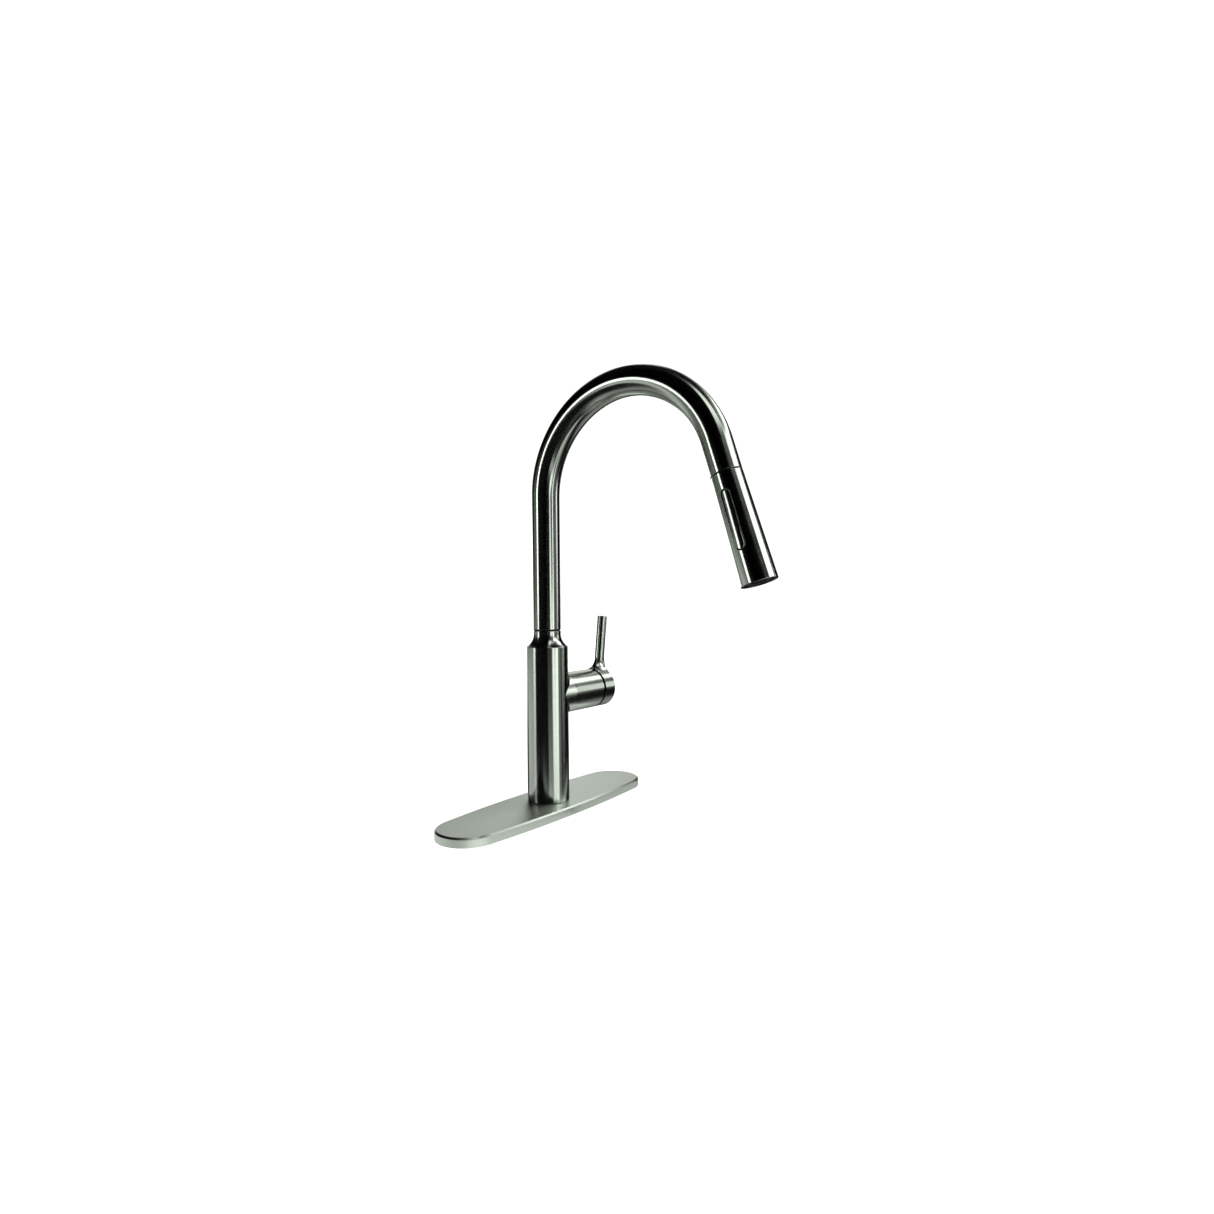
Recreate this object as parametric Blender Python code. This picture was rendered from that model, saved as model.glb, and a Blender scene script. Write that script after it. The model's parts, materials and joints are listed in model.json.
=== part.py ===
"""Pull-down kitchen faucet: deck plate, column with side valve, gooseneck spout and docking wand.

The origin is on the deck at the column's axis. +Z is up, +X points along the branch to the
handle, and -Y points over the sink. Lengths are metres. Each moving group hangs under an empty
on its joint's axis. The hub frame has its Z along the branch, and the wand frame has its Z along
the wand, with its origin at the seam between spout and wand.
"""

import math

import bmesh
import bpy
from mathutils import Matrix, Vector

MM = 0.001
GAP = 0.3 * MM  # left between pieces that touch on the real faucet
CUTTER_PHASE = 0.11  # radians
MANIFOLD_PIECES = ("body_column", "handle_lever")  # EXACT leaves open edges on these two

# Deck plate: a four-centre oval
PLATE_LENGTH = 267 * MM
PLATE_WIDTH = 69 * MM
PLATE_END_RADIUS = 29.5 * MM
PLATE_HEIGHT = 8.6 * MM
PLATE_WALL = 1.2 * MM
PLATE_BEVEL = 1.5 * MM
GASKET_HEIGHT = 1.5 * MM

# Column and the branch on its side
COLUMN_RADIUS = 20.3 * MM
COLUMN_FOOT = PLATE_HEIGHT + GAP
SHOULDER_Z = 158.6 * MM
COVE_HEIGHT = 12 * MM
NECK_TOP = 173.8 * MM
BODY_BORE = 16.3 * MM
BODY_BORE_TOP = 133.6 * MM
NECK_BORE = 11.3 * MM
HUB_Z = 110.5 * MM
HUB_RADIUS = 20.0 * MM
BRANCH_END = 66.8 * MM
BRANCH_BORE = 16.8 * MM
BRANCH_BORE_START = 6 * MM

# Handle
RING_START = 69 * MM
RING_END = 85.4 * MM
RING_EDGE = 0.5 * MM
RING_BORE = 16.6 * MM
RING_CAVITY_END = 81 * MM
RING_BOSS_RADIUS = 8 * MM
RING_BOSS_START = 72 * MM
RELIEF_ANGLE = math.radians(5)  # lower half of the ring leans back to let the handle tilt
LEVER_RADIUS = 5.1 * MM
LEVER_TOP = 75 * MM  # above the hub axis
LEVER_FOOT = 14 * MM
LEVER_BASE_X = 80 * MM
LEVER_LEAN = math.radians(7.5)
LEVER_WAIST = 13 * MM  # most that the flare reaches sideways
FRONT_SLOPE = 0.35  # how the flare's front follows the ring's end above the hub
FLARE_START = 30 * MM
FLARE_RADIUS = 14 * MM
STEM_PIVOT_X = 55 * MM
STEM_SQUARE = 7 * MM
STEM_END = 79.6 * MM
SCREW_X = 76.5 * MM  # the set screw and its plug, along the hub axis

# Spout: vertical leg, arc, short straight end
TUBE_RADIUS = 13.6 * MM
TUBE_WALL = 1.2 * MM
TUBE_FOOT = 175.3 * MM
ARCH_START_Z = 302.5 * MM
ARCH_RADIUS = 95.5 * MM
WAND_LEAN = math.radians(17.8)  # from the vertical
ARCH_ANGLE = math.pi - WAND_LEAN
SPOUT_END_STRAIGHT = 28.2 * MM
SEAM_GAP = 0.45 * MM  # on each side of the seam between spout and wand
POST_RADIUS = 9.5 * MM
POST_FOOT = 130 * MM
POST_TOP = 192 * MM
POST_BORE = 7.3 * MM

# Wand
WAND_LENGTH = 93 * MM
WAND_END_RADIUS = 15.3 * MM
WAND_WALL = 1.6 * MM
SLOT_LENGTH = 51.5 * MM
SLOT_WIDTH = 8.4 * MM
SLOT_CLEARANCE = 0.5 * MM
ROCKER_MIDDLE = 40.2 * MM  # below the seam
ROCKER_PIN_DEPTH = 9.4 * MM  # from the wand's axis
ROCKER_PIN_RADIUS = 0.75 * MM
ROCKER_TILT = math.radians(2.5)  # half of its travel
PLUNGER_DEPTH = 60 * MM  # below the seam
PLUNGER_RADIUS = 2 * MM
NECK_RISE = 14 * MM  # above the seam
WATERWAY_BORE = 5.2 * MM
WATERWAY_TOP = 8.3 * MM  # below the seam

# Hose, tubes and the fastening under the deck
HOSE_RADIUS = 5.5 * MM
HOSE_FOOT = -96 * MM
TUBE_PITCH = 11 * MM  # supply tubes' distance from the column's axis
SUPPLY_RADIUS = 2.9 * MM
SUPPLY_ANGLE = math.radians(50)
SUPPLY_TOP = 105.7 * MM
SUPPLY_FOOT = -98 * MM
BEND_TOP = -54 * MM
BEND_FOOT = -80 * MM
SHANK_RADIUS = 16.5 * MM
SHANK_BORE = 14.2 * MM
SHANK_FOOT = -52 * MM
TENON_RADIUS = 16 * MM
TENON_TOP = 24 * MM
CLAMP_BORE = 16.8 * MM
CLAMP_TOP = -30.1 * MM
CLAMP_RADIUS = 27.5 * MM
SCREW_PITCH = 22.3 * MM
SCREW_HEAD = 3.5 * MM
SCREW_HEAD_RADIUS = 4.2 * MM


# ---------------------------------------------------------------- finishes


def finish(name, colour, metallic, roughness):
    material = bpy.data.materials.new(name)
    material.use_nodes = True
    shader = material.node_tree.nodes["Principled BSDF"]
    shader.inputs["Base Color"].default_value = (*colour, 1)
    shader.inputs["Metallic"].default_value = metallic
    shader.inputs["Roughness"].default_value = roughness
    return material


def make_finishes():
    return {
        "nickel": finish("brushed_nickel", (0.46, 0.47, 0.43), 1, 0.3),
        "brass": finish("brass", (0.72, 0.55, 0.28), 1, 0.35),
        "steel": finish("steel", (0.55, 0.56, 0.57), 1, 0.35),
        "copper": finish("copper", (0.72, 0.42, 0.28), 1, 0.3),
        "black": finish("black_plastic", (0.02, 0.02, 0.02), 0, 0.45),
        "white": finish("white_plastic", (0.8, 0.8, 0.78), 0, 0.4),
        "grey": finish("grey_plastic", (0.2, 0.21, 0.21), 0, 0.5),
        "rubber": finish("rubber", (0.03, 0.03, 0.03), 0, 0.8),
        "ceramic": finish("ceramic", (0.85, 0.85, 0.82), 0, 0.15),
        "magnet": finish("magnet", (0.09, 0.09, 0.1), 1, 0.4),
        "hose": finish("braided_hose", (0.14, 0.14, 0.15), 0, 0.6),
    }


# ---------------------------------------------------------------- shapes


def ring(inner, outer, low, high):
    """The outline of a ring or disc, for turned()."""
    return [(inner, low), (outer, low), (outer, high), (inner, high)]


def turned(outline, steps=20, sweep=2 * math.pi, phase=0):
    """A solid from a closed (radius, height) outline turned about Z, capped where it isn't full."""
    shape = bmesh.new()
    full = sweep > 2 * math.pi - 0.001
    columns = []
    for k in range(steps if full else steps + 1):
        angle = phase + sweep * k / steps
        column = []
        for i, (radius, height) in enumerate(outline):
            if radius == 0 and columns:
                column.append(columns[0][i])
            else:
                column.append(shape.verts.new((radius * math.cos(angle), radius * math.sin(angle), height)))
        columns.append(column)
    for k in range(steps):
        here = columns[k]
        there = columns[(k + 1) % len(columns)]
        for i in range(len(outline)):
            j = (i + 1) % len(outline)
            corners = list(dict.fromkeys((here[i], there[i], there[j], here[j])))
            if len(corners) > 2:
                shape.faces.new(corners)
    if not full:
        shape.faces.new(columns[0])
        shape.faces.new(columns[-1])
    return shape


def hole(radius, low, high, steps=20):
    """A round cutter along Z, turned a little so that its corners miss those of what it cuts."""
    return turned(ring(0, radius, low, high), steps, phase=CUTTER_PHASE)


def lofted(loops, closed=False):
    """A solid through loops of equal length, capped at both ends or, if closed, joined end to end."""
    shape = bmesh.new()
    rows = [[shape.verts.new(point) for point in loop] for loop in loops]
    for k in range(len(rows) if closed else len(rows) - 1):
        here = rows[k]
        there = rows[(k + 1) % len(rows)]
        for i in range(len(here)):
            j = (i + 1) % len(here)
            shape.faces.new((here[i], here[j], there[j], there[i]))
    if not closed:
        shape.faces.new(rows[0])
        shape.faces.new(rows[-1])
    return shape


def block(low, high):
    """A box between two corners."""
    shape = bmesh.new()
    middle = (Vector(low) + Vector(high)) / 2
    size = Vector(high) - Vector(low)
    bmesh.ops.create_cube(shape, size=1, matrix=Matrix.Translation(middle) @ Matrix.Diagonal((*size, 1)))
    return shape


def placed(shape, location=(0, 0, 0), rotation=None):
    """The shape, turned by a matrix and then moved."""
    bmesh.ops.transform(shape, matrix=rotation or Matrix.Identity(4), verts=shape.verts)
    bmesh.ops.translate(shape, vec=location, verts=shape.verts)
    return shape


def torus(radius, thickness, height, around=24, across=6):
    """A ring of round section, such as an O-ring."""
    section = []
    for k in range(across):
        angle = 2 * math.pi * k / across
        section.append((radius + thickness * math.cos(angle), height + thickness * math.sin(angle)))
    return turned(section, around)


def bar(radius, start, length, axis, steps=12):
    """A plain round bar, or a cutter for one, along X or Y."""
    turns = {"X": Matrix.Rotation(math.pi / 2, 4, "Y"), "Y": Matrix.Rotation(-math.pi / 2, 4, "X")}
    return placed(hole(radius, 0, length, steps), start, turns[axis])


def bowed_oval(inset, end_steps=12, side_steps=6):
    """The deck plate's outline, moved inwards: two small end arcs joined by two large side arcs."""
    half_width = PLATE_WIDTH / 2 - inset
    end = PLATE_END_RADIUS - inset
    reach = PLATE_LENGTH / 2 - PLATE_END_RADIUS
    side = (reach**2 + half_width**2 - end**2) / (2 * (half_width - end))
    side_centre = half_width - side
    joint = math.atan2(-side_centre, reach)
    arcs = [
        (reach, 0, end, -joint, joint, end_steps),
        (0, side_centre, side, joint, math.pi - joint, side_steps),
        (-reach, 0, end, math.pi - joint, math.pi + joint, end_steps),
        (0, -side_centre, side, math.pi + joint, 2 * math.pi - joint, side_steps),
    ]
    points = []
    for x, y, radius, start, stop, steps in arcs:
        for k in range(steps):
            angle = start + (stop - start) * k / steps
            points.append((x + radius * math.cos(angle), y + radius * math.sin(angle)))
    return points


def oval_solid(layers):
    """A solid through bowed ovals, each given as (inset, height)."""
    return lofted([[(x, y, height) for x, y in bowed_oval(inset)] for inset, height in layers])


def oblong(length, width, low, high, end_steps=8):
    """A straight-sided slot shape in the YZ plane, long along Z, from x=low to x=high."""
    radius = width / 2
    outline = []
    for sign in (1, -1):
        for k in range(end_steps + 1):
            angle = math.pi * k / end_steps
            height = length / 2 - radius + radius * math.sin(angle)
            outline.append((sign * radius * math.cos(angle), sign * height))
    return lofted([[(x, y, z) for y, z in outline] for x in (low, high)])


# ---------------------------------------------------------------- objects


def pivot(name, location=(0, 0, 0), rotation=(0, 0, 0), parent=None):
    """An empty that carries one body's pieces."""
    empty = bpy.data.objects.new(name, None)
    bpy.context.scene.collection.objects.link(empty)
    empty.location = location
    empty.rotation_euler = rotation
    empty.parent = parent
    return empty


def piece(name, shape, material, parent=None, location=(0, 0, 0)):
    """One named object from a bmesh, with its faces turned outwards and round faces smooth."""
    bmesh.ops.recalc_face_normals(shape, faces=shape.faces)
    mesh = bpy.data.meshes.new(name)
    shape.to_mesh(mesh)
    shape.free()
    mesh.shade_smooth()
    mesh.set_sharp_from_angle(angle=math.radians(35))
    if material:
        mesh.materials.append(material)
    made = bpy.data.objects.new(name, mesh)
    bpy.context.scene.collection.objects.link(made)
    made.parent = parent
    made.location = location
    return made


def tool(name, shape, parent=None, location=(0, 0, 0)):
    """A hidden shape for a Boolean."""
    made = piece(name, shape, None, parent, location)
    made.hide_render = True
    made.display_type = "WIRE"
    return made


def combine(target, helper, operation):
    modifier = target.modifiers.new(f"{operation.lower()}_{helper.name}", "BOOLEAN")
    modifier.operation = operation
    modifier.object = helper
    modifier.solver = "MANIFOLD" if target.name in MANIFOLD_PIECES else "EXACT"


def cut(target, *helpers):
    for helper in helpers:
        combine(target, helper, "DIFFERENCE")


def pipe(name, points, radius, material, parent=None, resolution=2):
    """A round bar along points, with filled ends."""
    curve = bpy.data.curves.new(name, "CURVE")
    curve.dimensions = "3D"
    curve.bevel_depth = radius
    curve.bevel_resolution = resolution
    curve.use_fill_caps = True
    spline = curve.splines.new("POLY")
    spline.points.add(len(points) - 1)
    for spot, place in zip(spline.points, points):
        spot.co = (*place, 1)
    spline.use_smooth = True
    curve.materials.append(material)
    made = bpy.data.objects.new(name, curve)
    bpy.context.scene.collection.objects.link(made)
    made.parent = parent
    return made


# ---------------------------------------------------------------- deck plate and fastening


def make_deck_plate(looks):
    """The cover plate is a thin shell, open below, over a plastic carrier and a foam gasket."""
    shank_hole = SHANK_RADIUS + 2 * GAP
    plate = piece(
        "deck_plate",
        oval_solid([(0, 0), (0, PLATE_HEIGHT - PLATE_BEVEL), (PLATE_BEVEL, PLATE_HEIGHT)]),
        looks["nickel"],
    )
    ceiling = PLATE_HEIGHT - PLATE_WALL
    cut(
        plate,
        tool("plate_hollow", oval_solid([(PLATE_WALL, -MM), (PLATE_WALL, ceiling)])),
        tool("plate_hole", hole(shank_hole, -MM, 2 * PLATE_HEIGHT, 32)),
    )
    clear = PLATE_WALL + GAP
    liner = piece(
        "deck_plate_liner",
        oval_solid([(clear, GASKET_HEIGHT + GAP), (clear, ceiling - GAP)]),
        looks["white"],
    )
    cut(liner, tool("liner_hole", hole(shank_hole + MM, -MM, 2 * PLATE_HEIGHT)))
    for side in (-1, 1):
        ends = sorted((side * 30 * MM, side * 105 * MM))
        pocket = block((ends[0], -20 * MM, -MM), (ends[1], 20 * MM, ceiling - 2.5 * MM))
        cut(liner, tool(f"liner_pocket_{'right' if side > 0 else 'left'}", pocket))
    gasket = piece("deck_gasket", oval_solid([(clear, 0), (clear, GASKET_HEIGHT)]), looks["rubber"])
    cut(gasket, tool("gasket_hole", hole(shank_hole + MM, -MM, 2 * PLATE_HEIGHT)))


def make_fastening(looks):
    """The shank, and the washers, nut and screws that pull the column down on the deck."""
    shank = [
        (SHANK_BORE, SHANK_FOOT),
        (SHANK_RADIUS - MM, SHANK_FOOT),
        (SHANK_RADIUS, SHANK_FOOT + MM),
        (SHANK_RADIUS, PLATE_HEIGHT),
        (TENON_RADIUS, PLATE_HEIGHT),
        (TENON_RADIUS, TENON_TOP),
        (SHANK_BORE, TENON_TOP),
    ]
    piece("mounting_shank", turned(shank), looks["brass"])
    rubber_foot = CLAMP_TOP - 3 * MM
    steel_top = rubber_foot - GAP
    steel_foot = steel_top - 2 * MM
    nut_top = steel_foot - GAP
    nut_foot = nut_top - 10 * MM
    piece(
        "clamp_rubber_washer",
        turned(ring(CLAMP_BORE, CLAMP_RADIUS, rubber_foot, CLAMP_TOP), 24),
        looks["rubber"],
    )
    piece(
        "clamp_steel_washer",
        turned(ring(CLAMP_BORE, CLAMP_RADIUS, steel_foot, steel_top), 24),
        looks["steel"],
    )
    nut = piece(
        "mounting_nut",
        turned(ring(CLAMP_BORE + 0.4 * MM, CLAMP_RADIUS + 0.5 * MM, nut_foot, nut_top), 14),
        looks["brass"],
    )
    screw_radius = 2.5 * MM
    for side, word in ((-1, "front"), (1, "rear")):
        spot = (0, side * SCREW_PITCH, 0)
        nut_hole = hole(screw_radius + GAP, nut_foot - MM, nut_top + MM, 12)
        cut(nut, tool(f"nut_hole_{word}", nut_hole, None, spot))
        head_top = nut_foot - 3 * MM
        outline = [
            (0, head_top - SCREW_HEAD),
            (SCREW_HEAD_RADIUS, head_top - SCREW_HEAD),
            (SCREW_HEAD_RADIUS, head_top),
            (screw_radius, head_top),
            (screw_radius, nut_top),
            (0, nut_top),
        ]
        piece(f"clamp_screw_{word}", turned(outline, 16), looks["steel"], None, spot)


def supply_route(start, spread):
    """Straight down through the shank, then an easy S bend outwards below it."""
    points = [Vector((start.x, start.y, SUPPLY_TOP))]
    bend_steps = 8
    for k in range(bend_steps + 1):
        along = k / bend_steps
        eased = along * along * (3 - 2 * along)
        place = start.lerp(start * spread, eased)
        points.append(Vector((place.x, place.y, BEND_TOP + (BEND_FOOT - BEND_TOP) * along)))
    points.append(Vector((points[-1].x, points[-1].y, SUPPLY_FOOT)))
    return points


def make_supplies(looks):
    """Hot and cold tubes up to the valve body, and the outlet tube down from it."""
    supplies = (("hot_supply", SUPPLY_ANGLE, 2.5), ("cold_supply", -SUPPLY_ANGLE, 2.5), ("outlet", 0, 2.3))
    for name, angle, spread in supplies:
        start = Vector((TUBE_PITCH * math.cos(angle), TUBE_PITCH * math.sin(angle), 0))
        route = supply_route(start, spread)
        pipe(f"{name}_tube", route, SUPPLY_RADIUS, looks["copper"])
        low = SUPPLY_FOOT - 2 * MM
        outline = ring(SUPPLY_RADIUS + GAP, 6.6 * MM, low, low + 14 * MM)
        piece(f"{name}_fitting", turned(outline, 12), looks["brass"], None, (route[-1].x, route[-1].y, 0))


# ---------------------------------------------------------------- column and valve


def column_outline():
    """Half section of the solid column: foot, straight side, concave shoulder and neck."""
    foot_edge = 0.5 * MM
    step_in = COLUMN_RADIUS - TUBE_RADIUS
    turn = 2 * math.atan2(step_in, COVE_HEIGHT)
    cove = COVE_HEIGHT / math.sin(turn)
    points = [
        (0, COLUMN_FOOT),
        (COLUMN_RADIUS - foot_edge, COLUMN_FOOT),
        (COLUMN_RADIUS, COLUMN_FOOT + foot_edge),
        (COLUMN_RADIUS, SHOULDER_Z),
    ]
    cove_steps = 8
    for k in range(1, cove_steps + 1):
        angle = turn * (1 - k / cove_steps)
        radius = TUBE_RADIUS + cove * (1 - math.cos(angle))
        points.append((radius, SHOULDER_Z + COVE_HEIGHT - cove * math.sin(angle)))
    return points + [(TUBE_RADIUS, NECK_TOP), (0, NECK_TOP)]


def make_column(looks, hub):
    """One casting: the column with its branch, bored from below, from above and along the branch."""
    column = piece("body_column", turned(column_outline(), 32), looks["nickel"])
    branch = tool("branch_outside", hole(HUB_RADIUS, 0, BRANCH_END, 32), hub)
    combine(column, branch, "UNION")
    bore = [
        (0, 0),
        (BODY_BORE, 0),
        (BODY_BORE, BODY_BORE_TOP),
        (NECK_BORE, BODY_BORE_TOP),
        (NECK_BORE, NECK_TOP + MM),
        (0, NECK_TOP + MM),
    ]
    seal_radius = 18.3 * MM
    seal_thickness = 0.75 * MM
    groove_half = seal_thickness + GAP
    groove = ring(seal_radius - groove_half, seal_radius + groove_half, 0, COLUMN_FOOT + 1.9 * MM)
    cut(
        column,
        tool("column_bore", turned(bore, 32, phase=CUTTER_PHASE)),
        tool("branch_bore", hole(BRANCH_BORE, BRANCH_BORE_START, BRANCH_END + MM, 32), hub),
        tool("seal_groove", turned(groove, 32, phase=CUTTER_PHASE)),
    )
    seal = torus(seal_radius, seal_thickness, COLUMN_FOOT + seal_thickness)
    piece("column_base_seal", seal, looks["rubber"])


def make_valve_body(looks, hub):
    """The brass cup that seats the cartridge, with a nose that takes the three tubes."""
    cup_start = 20 * MM
    cup_floor = 32 * MM
    cup_end = 57.7 * MM
    cup_bore = 12.8 * MM
    cup_radius = BRANCH_BORE - GAP
    outline = [
        (0, cup_start),
        (cup_radius, cup_start),
        (cup_radius, cup_end),
        (cup_bore, cup_end),
        (cup_bore, cup_floor),
        (0, cup_floor),
    ]
    body = piece("valve_body", turned(outline, 32), looks["brass"], hub)
    nose_start = 3.5 * MM
    nose_width = 24.4 * MM
    nose_height = 20 * MM
    nose_low = (nose_start, -nose_width / 2, HUB_Z - nose_height / 2)
    nose_high = (cup_start + 4 * MM, nose_width / 2, HUB_Z + nose_height / 2)
    combine(body, tool("valve_nose", block(nose_low, nose_high)), "UNION")
    hose_passage = hole(7.2 * MM, HUB_Z - 30 * MM, HUB_Z + 30 * MM)
    cut(body, tool("hose_passage", hose_passage))
    for name, angle in (("hot", SUPPLY_ANGLE), ("cold", -SUPPLY_ANGLE), ("outlet", 0)):
        spot = (TUBE_PITCH * math.cos(angle), TUBE_PITCH * math.sin(angle), 0)
        socket = hole(SUPPLY_RADIUS + GAP, HUB_Z - 20 * MM, SUPPLY_TOP + GAP, 12)
        cut(body, tool(f"{name}_socket", socket, None, spot))


def make_ported_disc(name, outline, material, hub):
    """A turned disc with the cartridge's three ports through it."""
    disc = piece(name, turned(outline), material, hub)
    low = min(height for _, height in outline) - MM
    high = max(height for _, height in outline) + MM
    port_pitch = 6 * MM
    port_radius = 2.2 * MM
    for k in range(3):
        angle = 2 * math.pi * k / 3
        spot = (port_pitch * math.cos(angle), port_pitch * math.sin(angle), 0)
        cut(disc, tool(f"{name}_port_{k + 1}", hole(port_radius, low, high, 10), hub, spot))


def make_cartridge_housing(looks, hub):
    """The still half of the valve: seal, base, fixed disc, housing, nut and bonnet."""
    outside = 12.5 * MM
    seal = ring(0, outside - 0.2 * MM, 32.3 * MM, 33.3 * MM)
    base = ring(0, outside - 0.2 * MM, 33.6 * MM, 36.4 * MM)
    fixed_disc = ring(0, 10.2 * MM, 36.9 * MM, 39.9 * MM)
    make_ported_disc("cartridge_base_seal", seal, looks["rubber"], hub)
    make_ported_disc("cartridge_base", base, looks["white"], hub)
    make_ported_disc("fixed_ceramic_disc", fixed_disc, looks["ceramic"], hub)
    chamber = 10.6 * MM
    chamber_end = 53.4 * MM
    mouth = 8.6 * MM
    housing_start = 36.7 * MM
    housing_end = 57.7 * MM
    housing = [
        (chamber, housing_start),
        (outside, housing_start),
        (outside, housing_end),
        (mouth, housing_end),
        (mouth, chamber_end),
        (chamber, chamber_end),
    ]
    piece("cartridge_housing", turned(housing), looks["white"], hub)
    thread = BRANCH_BORE - GAP
    nut_end = 62.4 * MM
    piece("cartridge_nut", turned(ring(9 * MM, thread, 58 * MM, nut_end)), looks["brass"], hub)
    dome = 16.4 * MM
    opening = 9.3 * MM
    wall = 1.2 * MM
    bonnet_start = nut_end + GAP
    dome_start = 66.4 * MM
    inside_end = 65 * MM
    bonnet = [(thread, bonnet_start), (thread, dome_start)]
    first = math.acos((dome_start - STEM_PIVOT_X) / dome)
    last = math.asin(opening / dome)
    for k in range(4):
        angle = first + (last - first) * k / 3
        bonnet.append((dome * math.sin(angle), STEM_PIVOT_X + dome * math.cos(angle)))
    bonnet += [
        (opening, inside_end + MM),
        (opening + 0.7 * MM, inside_end),
        (thread - wall, inside_end),
        (thread - wall, bonnet_start),
    ]
    piece("cartridge_bonnet", turned(bonnet), looks["black"], hub)


def make_mixer(looks, hub, mixer):
    """The turning half of the valve: the guide that the stem tilts in, and the stem's pin."""
    back = (0, 0, -STEM_PIVOT_X)
    flange = 10.2 * MM
    neck = 8.2 * MM
    start, step, end = 47.2 * MM, 53.0 * MM, 57.4 * MM
    outline = [(0, start), (flange, start), (flange, step), (neck, step), (neck, end), (0, end)]
    guide = piece("cartridge_guide", turned(outline, 32), looks["white"], mixer, back)
    slot_length = 12 * MM
    slot_width = 5.6 * MM
    slot_low = (-slot_length / 2, -slot_width / 2, start - 5 * MM)
    slot_high = (slot_length / 2, slot_width / 2, end + 5 * MM)
    slot = block(slot_low, slot_high)
    pin_radius = 1 * MM
    pin_half = 7.4 * MM
    pin_hole = bar(pin_radius + GAP, (0, -neck - MM, 0), 2 * (neck + MM), "Y", 12)
    cut(guide, tool("guide_slot", slot, mixer, back), tool("guide_pin_hole", pin_hole, mixer))
    piece("stem_pin", bar(pin_radius, (0, -pin_half, 0), 2 * pin_half, "Y"), looks["steel"], mixer)


def make_moving_disc(looks, slider):
    """The disc that opens the ports, and the carrier that the stem pushes."""
    back = (0, 0, -STEM_PIVOT_X)
    outside = 7.6 * MM
    disc_end = 43 * MM
    disc = ring(0, outside, disc_end - 2.8 * MM, disc_end)
    piece("moving_ceramic_disc", turned(disc), looks["ceramic"], slider, back)
    socket = 2.9 * MM
    start = disc_end + GAP
    floor = start + 0.6 * MM
    end = start + 3.4 * MM
    outline = [(0, start), (outside, start), (outside, end), (socket, end), (socket, floor), (0, floor)]
    piece("disc_carrier", turned(outline, 32), looks["white"], slider, back)


def make_stem(looks, handle):
    """A steel lever: round tip in the carrier, flat blade on the pin, square end in the handle."""
    back = (0, 0, -STEM_PIVOT_X)
    half = STEM_SQUARE / 2
    blade_half = 2.4 * MM
    blade_depth = 2.6 * MM
    blade_start = 48 * MM
    blade_end = 59.6 * MM
    sections = [
        (blade_start, blade_depth, blade_half),
        (blade_end, blade_depth, blade_half),
        (blade_end + 0.6 * MM, half, half),
        (STEM_END, half, half),
    ]
    loops = [[(x, y, z), (-x, y, z), (-x, -y, z), (x, -y, z)] for z, x, y in sections]
    stem = piece("cartridge_stem", lofted(loops), looks["steel"], handle, back)
    tip_radius = 2.2 * MM
    neck = 1.7 * MM
    tip_start = 44.3 * MM
    tip = [
        (0, tip_start),
        (neck, tip_start + 0.2 * MM),
        (tip_radius, tip_start + 0.9 * MM),
        (tip_radius, tip_start + 1.9 * MM),
        (neck, tip_start + 2.7 * MM),
        (neck, blade_start + 2 * MM),
        (0, blade_start + 2 * MM),
    ]
    combine(stem, tool("stem_tip", turned(tip, 16), handle, back), "UNION")
    pin_hole = bar(1.3 * MM, (0, -STEM_SQUARE, 0), 2 * STEM_SQUARE, "Y", 12)
    cut(stem, tool("stem_pin_hole", pin_hole, handle))


# ---------------------------------------------------------------- handle


def lever_loop(height, steps=16):
    """One cross-section of the lever at a height above the hub axis, in the hub frame."""
    middle = LEVER_BASE_X + height * math.tan(LEVER_LEAN)
    below = max(0, min(FLARE_START - height, 0.98 * FLARE_RADIUS))
    spread = FLARE_RADIUS - math.sqrt(FLARE_RADIUS**2 - below**2)
    front = RING_END - GAP + FRONT_SLOPE * max(0, height - HUB_RADIUS)
    inward = min(LEVER_RADIUS + spread, middle - RING_START - GAP)
    outward = min(LEVER_RADIUS, front - middle)
    sideways = min(LEVER_RADIUS + spread, LEVER_WAIST)
    loop = []
    for k in range(steps):
        angle = 2 * math.pi * k / steps
        along = math.cos(angle)
        reach = outward if along > 0 else inward
        loop.append((-height, sideways * math.sin(angle), middle + reach * along))
    return loop


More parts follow.
